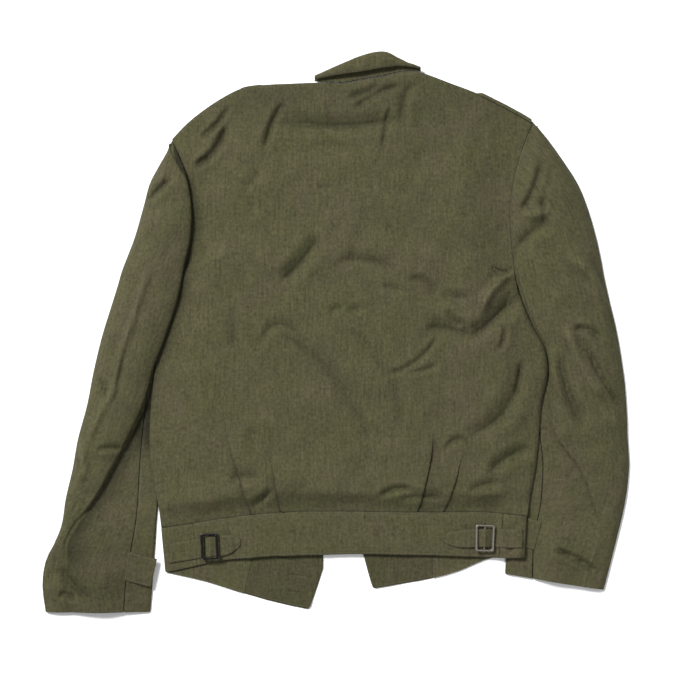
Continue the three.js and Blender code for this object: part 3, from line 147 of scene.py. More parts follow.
# ---- Sleeve sections; across values grow away from the body ----
SLEEVE_COLUMNS = "y outer lip seam inner crown lipZ over shelf mid parting tilt"
SLEEVES = {
    -1: Table(SLEEVE_COLUMNS, [
        (245, 218, 214.8, 213.4, 213.4, 6, 5, 0, 4.4, 4.5, 216.2, 1.7),
        (236, 221.7, 214, 211.6, 211.6, 8, 6, 0, 4.4, 4.6, 217.5, 1.15),
        (220, 231, 209, 206.4, 206.4, 14, 8.4, 0, 5.8, 6.2, 222, 0.72),
        (197, 243, 195, 196.4, 196.4, 20, 14.6, 3, 8, 8.4, 227, 0.22),
        (168, 251, 188, 197.4, 197.4, 24, 16.4, 12, 9.4, 9.8, 230, 0),
        (126, 263, 189, 203.4, 203.4, 26, 16.6, 17, 8.4, 8.8, 234, 0),
        (84, 279, 198, 211.4, 211.4, 26, 15.6, 16, 6, 6.5, 248, 0),
        (62, 285.5, 202, 218.4, 217, 26, 15.6, 17, 4.9, 5.4, 253, 0),
        (41, 292, 207, 224, 217.5, 26, 15.6, 18, 4.6, 4.7, 258, 0),
        (-1, 305, 221, 232, 222, 25, 15, 15, 4.6, 4.7, 269, 0),
        (-46, 316, 238, 243, 227, 24, 14, 10, 4.6, 4.8, 278, 0),
        (-92, 325, 251, 249, 228, 23, 14, 9, 4.6, 5, 289, 0),
        (-137, 337, 272, 254, 229, 22, 14, 9, 4.6, 5.5, 303, 0),
        (-176, 344, 292, 257, 230, 19, 13, 9, 4.8, 6, 316, 0),
        (-215, 353, 314, 259, 231.6, 16, 12, 8, 5.4, 7.4, 335, 0),
        (-247, 358, 338, 262, 234, 13, 10.6, 4, 6.4, 9, 350, 0),
        (-271, 367, 351, 266, 235.5, 10.6, 9.4, 3, 7.6, 10.4, 360, 0),
        (-296, 379, 352, 270, 237.5, 9.4, 9.2, 0, 8.2, 12, 371, 0),
        (-330, 383, 352, 275, 239.5, 9.4, 9.2, 0, 8.4, 13.4, 375, 0),
        (-362, 379, 348, 277, 242, 9, 9, 0, 8, 13, 371, 0)]),
    1: Table(SLEEVE_COLUMNS, [
        (265, 266.6, 259, 256.7, 256.7, 6.5, 5, 0, 4.4, 4.5, 263.6, 1.1),
        (256, 274.5, 257.5, 253.6, 253.6, 9, 6, 0, 4.4, 4.6, 268, 0.66),
        (232, 292, 249, 244.6, 244.6, 16, 9, 0, 7, 7.4, 285, 0.31),
        (198, 314, 235, 230, 230, 21, 14, 0, 12, 12.8, 302, 0),
        (167, 327, 231, 227, 227, 23, 14.6, 0, 12.8, 13.4, 312, 0),
        (130, 338, 231, 227, 227, 25, 13.6, 0, 11.6, 12.4, 322, 0),
        (99, 345, 234, 230.4, 230.4, 25, 11, 0, 8.4, 9.2, 328, 0),
        (77, 349, 237, 233.6, 233.6, 25, 10, 0, 6.2, 6.8, 332, 0),
        (45, 356, 246, 242.6, 237.6, 24, 12, 0.4, 4.5, 4.2, 338, 0),
        (12, 364, 259, 253, 247, 23, 12.6, 0.4, 4.5, 4.2, 344, 0),
        (-14, 369, 272.6, 265, 257, 22, 13, 0.4, 4.5, 4.2, 348, 0),
        (-46, 374, 279, 269, 260, 21, 13, 0.4, 4.5, 4.2, 352, 0),
        (-66, 376.5, 281, 266, 256, 21, 13, 4, 4.6, 4.6, 354, 0),
        (-85, 378, 278, 263, 249, 20, 13, 8, 4.6, 4.8, 355, 0),
        (-111, 379.5, 280, 263, 244, 20, 13, 9, 4.6, 5, 356, 0),
        (-131, 380, 284, 266, 242, 19, 13, 9, 4.6, 5.2, 356, 0),
        (-148, 381, 295, 268, 239, 18, 12.6, 9, 4.6, 5.6, 358, 0),
        (-170, 382, 312, 270, 236, 17, 12, 9, 4.6, 6.4, 360, 0.01),
        (-202, 379.5, 327, 269, 232, 15, 11.4, 8, 4.6, 7.4, 362, 0.03),
        (-228, 375, 335, 267, 229, 13, 10.6, 6, 4.6, 8.4, 362, 0.06),
        (-252, 369.5, 341, 263, 226.5, 11, 9.6, 3, 4.6, 9.4, 360, 0.1),
        (-284, 361.5, 334, 258, 222.5, 9.6, 9.6, 0, 4.6, 13, 346, 0.14),
        (-333, 349, 318, 256, 219.5, 9.4, 9.4, 0, 5.4, 13.4, 330, 0.16)]),
}
TUBE = {
    -1: {"closes": 58, "closed": 40, "from": 84, "full": 58, "ends": -216, "gone": -244},
    1: {"closes": 74, "closed": 50, "from": 92, "full": 62, "ends": -316, "gone": -334},
}

# ---- Folds and creases: an arc from a to b that bulges to the left; depth < 0 is a trough ----
CREASES = np.array([
    # ax, ay, bx, by, bulge, depth, width
    # yoke
    (-60, 276, 76, 279, -7, -3.6, 8), (-69, 299, -91, 242, -4, -2.6, 3.4),
    (54, 324, 18, 308, 2, -2.5, 4), (83, 322, 26, 294, -5, -2.6, 4),
    (98, 326, 88, 272, -5, -2.2, 5), (70, 292, 62, 240, -2, -1.8, 2.4),
    (-15, 250, 18, 237, 1, -1.0, 6), (-102, 211, -115, 191, 2, -1.5, 6),
    (-24, 192, -8, 190, -1, -1.0, 5),
    # middle of the back
    (-24, 125, -70, 70, 4, -3.4, 7), (5, 94, 76, 84, 6, -1.8, 6),
    (62, 64, 83, 57, -1, -1.6, 4), (98, 73, 130, 53, 4, -2.0, 5), (135, 51, 174, 48, -1, -1.6, 5),
    (-8, 26, 8, 36, 1, -1.2, 4), (17, 31, 33, 34, -1, -1.4, 4),
    (-97, -7, -47, -1, 16, -1.8, 6), (-67, -1, 11, -75, 6, -2.8, 8),
    (5, -66, 44, -137, 4, -2.0, 7), (20, 5, 67, -52, 3, -1.5, 3.2),
    (67, -52, 131, -4, -9, -1.5, 3.2), (88, -50, 132, -39, -3, -1.2, 3),
    (70, -55, 86, -111, 3, -1.5, 6), (-135, 36, -132, -18, 1, -1.8, 6),
    (-110, -125, -107, -157, 1, -1.4, 6),
    # right side of the back
    (238, 56, 176, -4, 3, -4.6, 8), (174, -3, 118, 8, -4, -2.8, 8),
    (230, 80, 188, 33, -6, 3.2, 4.4), (204, 86, 228, 85, -6, -3.0, 2.6),
    (144, 29, 163, 12, -2, -1.6, 4), (213, -20, 219, 12, -2, -1.8, 3),
    (240, -40, 235, -79, 1, -1.8, 3), (239, -40, 174, -132, 18, -2.6, 8),
    (141, -150, 176, -149, 13, -1.8, 4),
    (200, -178, 252, -148, 4, -2.4, 6), (174, -202, 213, -192, 2, -2.0, 5),
    # above the waist
    (57, -209, 96, -200, 3, -2.5, 4), (86, -212, 137, -212, 1, -2.4, 6),
    (5, -220, 48, -220, 2, -1.2, 5), (-110, -225, -84, -202, -2, -2.5, 4),
    (-135, -186, -100, -186, 1, -1.8, 6),
    # buttonholes of the front band, seen from inside; on the band these rows shape nothing and only
    # paint shade along the buttonholes
    (-64, -334.6, -39, -339, 0.4, -3.4, 2), (-66, -314, -36, -317, 0.3, -1.2, 1.4),
    # shoulder on the left
    (-141, 294, -173, 256, 3, -3.0, 3), (-143, 268, -180, 218, 6, -4.0, 4),
    (-180, 222, -166, 226, 1, -2.5, 3),
    # right sleeve
    (265, 219, 240, 159, 4, -2.6, 3.8), (233, 112, 274, 146, 2, -3.2, 6),
    (240, 156, 275, 160, -3, 3.0, 5), (270, 176, 281, 132, -6, -1.6, 2.8),
    (308, 96, 358, 30, 8, 3.2, 7), (334, 96, 362, -8, 5, -2.6, 4.6),
    (297, 8, 343, -80, -4, 3.6, 6), (310, 8, 343, -5, 3, -3.0, 4),
    (326, -18, 372, -96, -3, -3.0, 2.6), (291, -30, 320, -117, -4, -5.0, 6),
    (308, -173, 301, -187, 1, -2.0, 4), (286, -281, 340, -312, 3, -3.6, 3.6),
    # left sleeve
    (-216, 200, -248, 175, 2, -3.4, 4), (-242, 80, -270, -18, -3, 1.7, 3.4),
    (-268, 5, -290, -84, -2, 2.4, 3.6), (-286, -70, -322, -142, -3, 1.9, 4),
    (-262, 10, -282, -70, -2, -0.9, 2.4),
    (-306, -58, -297, -84, 1, -1.6, 3), (-308, -149, -278, -149, 1, -1.6, 3),
    (-334, -137, -328, -189, 1, 3.6, 5), (-338, -160, -325, -196, 2, -2.2, 4),
    (-358, -306, -320, -346, -3, -3.6, 6), (-359, -338, -340, -344, 1, -2.6, 4),
])

# Broad painted shade and painted light, darker and paler parts where less or more light falls; an
# amount above 0 is darker.
PAINTED_SHADE_AND_LIGHT = (
    # x, y, reach_x, reach_y, amount
    (-120, 330, 70, 36, 0.45), (60, 300, 90, 26, 0.5), (-60, 290, 60, 24, 0.35),
    (200, 290, 60, 30, 0.3), (285, 215, 30, 45, 0.3), (-330, -330, 46, 46, 0.55),
    (-270, -330, 40, 60, 0.4), (-175, 215, 8, 12, 0.5), (122, -190, 16, 40, 0.22),
    (210, 20, 12, 16, 0.35), (128, 6, 18, 8, 0.25), (-160, -222, 70, 14, -0.45),
    (20, -214, 90, 12, -0.35), (180, -222, 60, 14, -0.35),
)

# ---- Knife pleats set into the waist seam: foot and lean of each, and the way it laps ----
PLEATS = [
    {"foot": -109, "lean": -24, "tall": 112, "toward": 1, "step": 3.2, "run": 34},
    {"foot": -71, "lean": -6, "tall": 84, "toward": 1, "step": 2.6, "run": 30},
    {"foot": 105, "lean": 9, "tall": 118, "toward": -1, "step": 3.0, "run": 34},
    {"foot": 139, "lean": 16, "tall": 88, "toward": -1, "step": 2.6, "run": 24},
]


# ---- Height fields and shades shared by every piece ----
CREASE_GAIN = 1.7           # height of a crease against its depth in the table
CREASE_BANK = 0.3           # share of it that rises again on both sides
CREASE_LINE = 0.6           # share of a trough that is pressed in as a narrow line
CREASE_CORE = 1.9           # half width of that line, in mm
# Painted shade in the troughs and painted highlight on the ridges, put into the cloth's colour.
TROUGH_PAINTED_SHADE = (0.36, 1.3)   # darkness for each mm of a trough, and the most of it
RIDGE_PAINTED_HIGHLIGHT = (0.4, 1.0)     # the same for how pale a ridge is
SHADE_RANGE = (-0.6, 1.4)


def bell(x):
    return np.exp(-0.5 * x ** 2)


def crease_offset(x, y, crease):
    """How far a point is from a bowed crease, and how alive the crease is there."""
    ax, ay, bx, by, bulge = crease[:5]
    dx, dy = bx - ax, by - ay
    length = math.hypot(dx, dy)
    t = ((x - ax) * dx + (y - ay) * dy) / length ** 2
    c = np.clip(t, 0, 1)
    off = ((y - ay) * dx - (x - ax) * dy) / length - 4 * bulge * c * (1 - c)
    return off, smooth((t + 0.12) / 0.3) * smooth((1.12 - t) / 0.3)


def crease_shade(x, y):
    """Painted shade, dark in the bottoms of the creases, and painted highlight, pale along the
    ridges, with the broad painted shade and light on top.
    """
    shade = np.zeros_like(x)
    for crease in CREASES:
        off, ends = crease_offset(x, y, crease)
        depth, width = crease[5:]
        gain, most = TROUGH_PAINTED_SHADE if depth < 0 else RIDGE_PAINTED_HIGHLIGHT
        tone = -math.copysign(min(most, abs(depth) * gain), depth)
        shade += tone * ends * bell(off / (0.9 + 0.22 * width))
    for x0, y0, reach_x, reach_y, amount in PAINTED_SHADE_AND_LIGHT:
        shade += amount * bell((x - x0) / reach_x) * bell((y - y0) / reach_y)
    return np.clip(shade, *SHADE_RANGE)


def crease_height(x, y):
    z = np.zeros_like(x)
    for crease in CREASES:
        depth, width = crease[5:]
        off, ends = crease_offset(x, y, crease)
        away = np.abs(off) / width
        shape = bell(away) - CREASE_BANK * bell((away - 2.3) / 0.9)
        line = CREASE_LINE * bell(off / CREASE_CORE) if depth < 0 else 0
        z += depth * ends * (CREASE_GAIN * shape + line)
    return z


def ripple(x, y, length, seed, waves=14):
    """Soft uneven cloth, about -1 to 1, with waves near one length in mm."""
    rng = np.random.default_rng(seed)
    z = np.zeros_like(x)
    for _ in range(waves):
        way = rng.uniform(0, math.tau)
        k = math.tau / (length * rng.uniform(0.7, 1.5))
        z += np.sin(k * (x * math.cos(way) + y * math.sin(way)) + rng.uniform(0, math.tau))
    return z / math.sqrt(waves)


def body_x(side, y):
    return (BODY_LEFT if side < 0 else BODY_RIGHT).at("y", "x", y)


def lift(x, y):
    """The body rides up where the forearm of a sleeve lies under it."""
    x, y = np.broadcast_arrays(np.asarray(x, float), np.asarray(y, float))
    out = np.zeros(x.shape)
    for side in (-1, 1):
        tube = TUBE[side]
        across = smooth((side * x - SLEEVES[side].at("y", "inner", y) + LIFT_RUN) / (LIFT_RUN - 2))
        upper = smooth((tube["from"] - y) / (tube["from"] - tube["full"]))
        lower = smooth((y - tube["gone"]) / (tube["ends"] - tube["gone"]))
        out += np.where(side * x > 0, LIFT_HEIGHT * across * upper * lower, 0)
    tab = smooth((x - 226) / 10) * smooth((y + 302) / 14) * smooth((-218 - y) / 14)
    return out + np.where(x > 0, TAB_BUMP * tab, 0)


def band_top(x, y):
    arch = smooth((x + 188) / 90) * smooth((250 - x) / 100)
    return BAND_REST + lift(x, y) + BAND_ARCH * arch + BAND_WALL


def shoulder_stack(x, y):
    near = smooth((y - TOP_EDGE.at("x", "y", x) + 84) / 20)
    left = smooth((x + 232) / 12) * smooth((-60 - x) / 20)
    right = smooth((x - 84) / 20) * smooth((280 - x) / 10)
    return (STRAP_WALL + SEAM_GAP) * near * np.maximum(left, right)


# ---- From a grid of points to a closed piece of cloth ----
def grid(us, vs, place):
    u, v = np.meshgrid(np.asarray(us, float), np.asarray(vs, float))
    return np.stack(np.broadcast_arrays(*place(u, v)), axis=-1)


def grid_normals(p):
    """Normals at the points of a grid, from both diagonals of every face round each."""
    e1 = p[1:, 1:] - p[:-1, :-1]
    e2 = p[1:, :-1] - p[:-1, 1:]
    c = np.cross(e1, e2)
    c /= np.maximum(np.linalg.norm(c, axis=-1, keepdims=True), 1e-9)
    n = np.zeros_like(p)
    for dj in (0, 1):
        for di in (0, 1):
            n[dj:p.shape[0] - 1 + dj, di:p.shape[1] - 1 + di] += c
    return n / np.maximum(np.linalg.norm(n, axis=-1, keepdims=True), 1e-9)


def side_distances(p):
    """How far each point is from the four sides, along the grid: left, right, low, high."""
    across = np.linalg.norm(np.diff(p, axis=1), axis=-1)
    up = np.linalg.norm(np.diff(p, axis=0), axis=-1)
    left = np.concatenate([np.zeros((p.shape[0], 1)), np.cumsum(across, axis=1)], axis=1)
    low = np.concatenate([np.zeros((1, p.shape[1])), np.cumsum(up, axis=0)], axis=0)
    return {"left": left, "right": left[:, -1:] - left, "low": low, "high": low[-1:] - low}


# What each piece of cloth leaves for the sewing on it: points, normals, distances from its sides.
RAILS = {}


def cloth_shell(name, points, wall, drop=False, ghosts=0, coarse=3, sides=None, uv=None,
                seed=1, shade=0):
    """A closed shell from a grid of its outer face.

    sides says how each edge is sewn: how far in mm it rolls under, over what run, how much
    the stitches pucker it, and how far from it rows of stitches lie. ghosts is how many
    columns at both ends only guide the normals. drop moves the inner face straight down.
    coarse is how many steps of the outer face one step of the inner face spans."""
    p, normals = points, grid_normals(points)
    if ghosts:
        p = p[:, ghosts:-ghosts]
        normals = normals[:, ghosts:-ghosts]
    away = side_distances(p)
    wear = np.zeros(p.shape[:2])
    sunk = np.zeros(p.shape[:2])
    painted_edge_shadow = np.zeros(p.shape[:2])
    for i, (side, (turn, run, pucker, *rows_of_stitches)) in enumerate((sides or {}).items()):
        d = away[side]
        for row in rows_of_stitches:
            sunk -= STITCH_PULL * np.exp(-((d - row) / 0.9) ** 2)
        s = away["low" if side in ("left", "right") else "left"]
        sunk -= np.asarray(turn) * np.exp(-(d / run) ** 2)
        wave = ripple(s, s * 0.3, 13, seed + 17 * i, 6)
        sunk += np.asarray(pucker) * wave * np.exp(-((d - 5) / 6) ** 2)
        wear = np.maximum(wear, np.exp(-(d / 2.2) ** 2))
        # Painted shadow along an edge, darker the farther the edge rolls under.
        painted_edge_shadow = np.maximum(painted_edge_shadow, EDGE_PAINTED_SHADOW * np.asarray(turn) * np.exp(-(d / 1.1) ** 2))
    p = p + normals * sunk[..., None]
    p[..., 2] = np.maximum(p[..., 2], 0)
    RAILS[name] = (p, normals, away)
    rows, cols = p.shape[:2]
    pick_r = sorted({*range(0, rows, coarse), rows - 1})
    pick_c = sorted({*range(0, cols, coarse), cols - 1})
    picked = np.ix_(pick_r, pick_c)
    way = np.zeros_like(normals) + (0, 0, 1.0) if drop else normals
    inner = (p - way * wall)[picked]
    inner[..., 2] = np.maximum(inner[..., 2], 0)
    r2, c2 = len(pick_r), len(pick_c)
    verts = np.concatenate([p.reshape(-1, 3), inner.reshape(-1, 3)]) * MM
    top = np.arange(rows * cols).reshape(rows, cols)
    low = rows * cols + np.arange(r2 * c2).reshape(r2, c2)
    quads = np.stack([top[:-1, :-1], top[:-1, 1:], top[1:, 1:], top[1:, :-1]], -1).reshape(-1, 4)
    under = np.stack([low[:-1, :-1], low[1:, :-1], low[1:, 1:], low[:-1, 1:]], -1).reshape(-1, 4)
    faces = quads.tolist() + under.tolist()

    def rim(outer_ids, inner_ids, picks):
        """The edge wall along one side; each inner step spans a few outer ones."""
        for a in range(len(picks) - 1):
            run = outer_ids[picks[a]:picks[a + 1] + 1]
            faces.append([*run[::-1], inner_ids[a], inner_ids[a + 1]])

    rim(top[0], low[0], pick_c)
    rim(top[-1][::-1], low[-1][::-1], [cols - 1 - c for c in pick_c[::-1]])
    rim(top[:, 0][::-1], low[:, 0][::-1], [rows - 1 - r for r in pick_r[::-1]])
    rim(top[:, -1], low[:, -1], pick_r)
    flat = (p[..., :2] if uv is None else uv) * MM
    flat = np.concatenate([flat.reshape(-1, 2), flat[picked].reshape(-1, 2)])
    # Painted shade and painted highlight for the cloth's colour: each piece's own painted shade,
    # the painted shadow along rolled edges, and the creases' shade and highlight, which only reach
    # cloth higher than about 1.5 mm.
    painted_light_and_shade = shade + painted_edge_shadow + crease_shade(p[..., 0], p[..., 1]) * smooth(p[..., 2] - 1.5)
    marks = {mark: np.concatenate([values.ravel(), values[picked].ravel()])
             for mark, values in (("worn", wear), ("painted_light_and_shade", painted_light_and_shade))}
    return make_mesh(name, verts, faces, flat, marks)


# The solids are centred on the origin, so the front band's own corner says how far they moved.
FRONT_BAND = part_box("waistband_front_left")
SHIFT = np.array([FRONT_BAND[1][0] / MM + 17, FRONT_BAND[0][1] / MM + 359.4, 0])


def make_mesh(name, verts, faces, flat=None, marks=None):
    mesh = bpy.data.meshes.new(name)
    mesh.from_pydata((verts + SHIFT * MM).tolist(), [], faces)
    mesh.validate()
    if flat is not None:
        layer = mesh.uv_layers.new(name="cloth")
        loops = np.empty(len(mesh.loops), np.int32)
        mesh.loops.foreach_get("vertex_index", loops)
        layer.data.foreach_set("uv", flat[loops].astype(np.float32).ravel())
    for mark_name, values in (marks or {}).items():
        mark = mesh.attributes.new(mark_name, "FLOAT", "POINT")
        mark.data.foreach_set("value", values.astype(np.float32))
    mesh.shade_smooth()
    mesh.set_sharp_from_angle(angle=math.radians(RIM_ANGLE))
    obj = bpy.data.objects.new(name, mesh)
    bpy.context.scene.collection.objects.link(obj)
    return obj


# ---- Back panel ----
LOW_LEFT, HIGH_LEFT = (-228, -252), (-214, 254)
LOW_RIGHT, HIGH_RIGHT = (248, -236), (256, 276)


def body_patch(u, v):
    yl = mix(LOW_LEFT[1], HIGH_LEFT[1], v)
    yr = mix(LOW_RIGHT[1], HIGH_RIGHT[1], v)
    xb = mix(LOW_LEFT[0], LOW_RIGHT[0], u)
    xt = mix(HIGH_LEFT[0], HIGH_RIGHT[0], u)
    x = mix(body_x(-1, yl), body_x(1, yr), u)
    y = mix(WAIST_SEAM.at("x", "y", xb), TOP_EDGE.at("x", "y", xt), v)
    return x, y, yl, yr, xt


def roll(d, quick, run):
    return quick * (1 - np.exp(-d / 3)) + (1 - quick) * smooth(d / run)


def shoulder_roll(d):
    return roll(d, 0.16, 80)


def back_height(x, y, yl, yr, xt, u, v, width, tall):
    dl, dr, dt = u * width, (1 - u) * width, (1 - v) * tall
    arm_l = ARMHOLE_HEIGHT.at("y", "left", np.maximum(yl, -20))
    arm_r = ARMHOLE_HEIGHT.at("y", "right", np.maximum(yr, -20))
    zl = EDGE_STACK + lift(body_x(-1, yl) + 1, yl) + arm_l
    zr = EDGE_STACK + lift(body_x(1, yr) - 1, yr) + arm_r
    zt = TOP_HEIGHT.at("x", "z", xt)
    wl, wr, wt = 1 / (dl + 1) ** 2, 1 / (dr + 1) ** 2, 1 / (dt + 1) ** 2
    edge = (zl * wl + zr * wr + zt * wt) / (wl + wr + wt)
    quick_l = 0.28 * smooth((-30 - yl) / 40)
    quick_r = 0.28 * smooth((60 - yr) / 40)
    ramp = roll(dl, quick_l, 74) * roll(dr, quick_r, 70) * shoulder_roll(dt)
    blouse = 2.2 * bell((v * tall - 34) / 20)
    inside = smooth(np.minimum(np.minimum(dl, dr), dt) / 26)
    loose = ripple(x, y, 74, 5) * 0.9 + ripple(x, y, 30, 8) * 0.32
    z = (edge + (BACK_LOFT + blouse - EDGE_STACK) * ramp
         + crease_height(x, y) * (0.5 + 0.5 * inside) + loose * inside)
    seam = band_top(x, y) - 0.7
    settled = mix(seam, z, smooth(v * tall / 30))
    stack = shoulder_stack(x, y)
    lowest = EDGE_STACK + lift(x, y) + stack + 0.25
    return np.maximum(settled + stack * smooth(1 - dt / 60), lowest)


def back_point(u, v):
    px, py, yl, yr, xt = body_patch(u, v)
    width = body_x(1, yr) - body_x(-1, yl)
    tall = TOP_EDGE.at("x", "y", xt) - LOW_LEFT[1] + 16
    foot = mix(LOW_LEFT[0], LOW_RIGHT[0], u)
    up = v * tall
    x = px.copy()
    for pl in PLEATS:
        rise = np.clip(up / pl["tall"], 0, 1)
        fade = smooth(1 - (up - pl["tall"]) / 90)
        x += pl["lean"] * rise * fade * bell((foot - pl["foot"]) / 24)
    z = back_height(x, py, yl, yr, xt, u, v, width, tall)
    for pl in PLEATS:
        inward = (foot - pl["foot"]) * pl["toward"]
        alive = smooth((pl["tall"] - up) / 46)
        low = 0.55 + 0.45 * smooth(up / 16)
        over = smooth((inward + 0.9) / 1.8) * np.exp(-np.maximum(0, inward) / pl["run"])
        z += pl["step"] * alive * low * over
        x -= pl["toward"] * 2.6 * alive * low * bell((inward - 0.9) / 1.1)
    return x, py, z


def back_columns(count):
    """Even columns, with close ones at the fold of each pleat."""
    width = LOW_RIGHT[0] - LOW_LEFT[0]
    feet = [(p["foot"] - LOW_LEFT[0]) / width for p in PLEATS]
    us = [u for u in np.linspace(0, 1, count) if all(abs(u - f) * width > 5 for f in feet)]
    near = (-4.5, -3, -1.9, -1.2, -0.7, -0.3, 0, 0.3, 0.6, 0.9, 1.2, 1.6, 2.1, 2.8, 3.8, 4.8)
    return sorted(us + [f + d / width for f in feet for d in near])


def pleat_shade(u, v):
    """Painted shade in the fold of each pleat."""
    foot = mix(LOW_LEFT[0], LOW_RIGHT[0], u)
    up = v * (TOP_EDGE.at("x", "y", 0) - LOW_LEFT[1] + 16)
    shade = np.zeros_like(foot)
    for pl in PLEATS:
        inward = (foot - pl["foot"]) * pl["toward"]
        alive = smooth((pl["tall"] - up) / 46)
        shade += alive * (2.2 * bell((inward + 0.8) / 1.3) + 0.35 * bell((inward + 5) / 4))
    return shade


def tucked_shade(x, y):
    """Painted shadow on the back where it runs in under the sleeves: along the left sleeve's lip
    and in the crevice at the right sleeve.
    """
    lip = np.maximum(0, x + SLEEVES[-1].at("y", "lip", y))
    seam = body_x(1, y) - x
    left = 1.9 * np.exp(-(lip / 12) ** 2) * smooth((230 - y) / 40) * smooth((y + 240) / 40)
    right = 1.3 * np.exp(-(seam / 5) ** 2) * smooth((84 - y) / 20) * smooth((y + 130) / 60)
    return left + right


def back_panel():
    us, vs = back_columns(215), np.linspace(0, 1, 262)
    points = grid(us, vs, back_point)
    shade = pleat_shade(*np.meshgrid(us, vs)) + tucked_shade(points[..., 0], points[..., 1])
    sides = {"left": (0.4, 1.4, 0.22), "right": (0.4, 1.4, 0.22), "low": (0.8, 1.8, 0.35),
             "high": (0.6, 2.0, 0.1)}
    return cloth_shell("back_panel_cloth", points, CLOTH, sides=sides, seed=3, shade=shade)


# ---- Fronts, flat under the back ----
BAND_LOW = {
    -1: Table("x y", [(-228, -253.2), (-221, -254.4), (-190, -262.2), (-150, -271.6),
                      (-108, -282.6), (-64, -293.2), (-17, -304.2)]),
    1: Table("x y", [(248, -237), (241, -238), (214, -241.2), (170, -248.6), (124, -258.6),
                     (78, -267.6), (33, -276.6)]),
}
FRONT_EDGE = {-1: ((-17, -303), (-10, 296)), 1: ((33, -276), (34, 300))}


def front_panel(side, name):
    low, high = FRONT_EDGE[side]
    corner_y = LOW_LEFT[1] if side < 0 else LOW_RIGHT[1]
    top_y = HIGH_LEFT[1] if side < 0 else HIGH_RIGHT[1]

    def place(f, v):
        y = mix(corner_y - 3, top_y, v)
        xe = body_x(side, np.maximum(y, corner_y)) - side * SEAM_GAP / 2
        x = mix(xe, mix(low[0], high[0], v), f)
        shoulder = TOP_EDGE.at("x", "y", x) - 1 - 14 * smooth(f * 2 - 1)
        hem = BAND_LOW[side].at("x", "y", x) - 0.35
        straight = mix(y, mix(low[1], high[1], v), f)
        straight = straight + (hem - mix(corner_y - 3, low[1], f)) * (1 - v) ** 3
        yy = mix(straight, np.maximum(straight, mix(y, shoulder, smooth(f * 8))), v ** 6)
        return x, yy, lift(x, yy) + shoulder_stack(x, yy) + FRONT_WALL

    points = grid(np.linspace(0, 1, 60) ** 1.3, np.linspace(0, 1, 120), place)
    if side > 0:
        points = points[:, ::-1]
    return cloth_shell(name, points, FRONT_WALL, drop=True)


# ---- Sleeves ----
CLOSE_SEAM = 0.08                 # gap of a seam that is sewn shut
JOINED_ABOVE = {-1: 90, 1: 62}    # above this y a sleeve is sewn to the body
SEAM_SHOWS = -88                  # below this y the seam between its two parts shows
SLEEVE_FOLDS = 0.85               # height of its creases against the table
FLOOR_SPLIT = 0.42                # where the right sleeve's parts meet under it


def sleeve_row(side, y):
    row = {n: float(SLEEVES[side].at("y", n, y)) for n in SLEEVES[side].names if n != "y"}
    tube = TUBE[side]
    row["wrap"] = float(smooth((tube["closes"] - y) / (tube["closes"] - tube["closed"])))
    row["y"] = y
    joined = float(smooth((y - JOINED_ABOVE[side]) / 12))
    for _ in range(6):
        seam_y = y + row["tilt"] * (row["outer"] - row["seam"])
        close = side * float(body_x(side, seam_y)) + CLOSE_SEAM
        row["seam"] = mix(row["seam"], close, joined)
    row["inner"] = mix(row["inner"], row["seam"], joined)
    return row


def soft_curve(keys, per):
    """Points along a smooth open curve through the keys, per points to each stretch."""
    k = np.asarray(keys, float)
    k = np.concatenate([[2 * k[0] - k[1]], k, [2 * k[-1] - k[-2]]])
    out = []
    for p0, p1, p2, p3 in zip(k[:-3], k[1:-2], k[2:-1], k[3:]):
        d0, d1, d2 = (np.linalg.norm(b - a) ** 0.5 for a, b in ((p0, p1), (p1, p2), (p2, p3)))
        d1 = d1 if d1 > 1e-4 else 1
        d0 = d0 if d0 > 1e-4 else d1
        d2 = d2 if d2 > 1e-4 else d1
        m1 = ((p1 - p0) / d0 - (p2 - p0) / (d0 + d1) + (p2 - p1) / d1) * d1
        m2 = ((p2 - p1) / d1 - (p3 - p1) / (d1 + d2) + (p3 - p2) / d2) * d1
        t = (np.arange(per) / per)[:, None]
        bend, twist = 3 * (p2 - p1) - 2 * m1 - m2, 2 * (p1 - p2) + m1 + m2
        out.append(p1 + m1 * t + bend * t ** 2 + twist * t ** 3)
    out.append(k[-2][None])
    return np.concatenate(out)


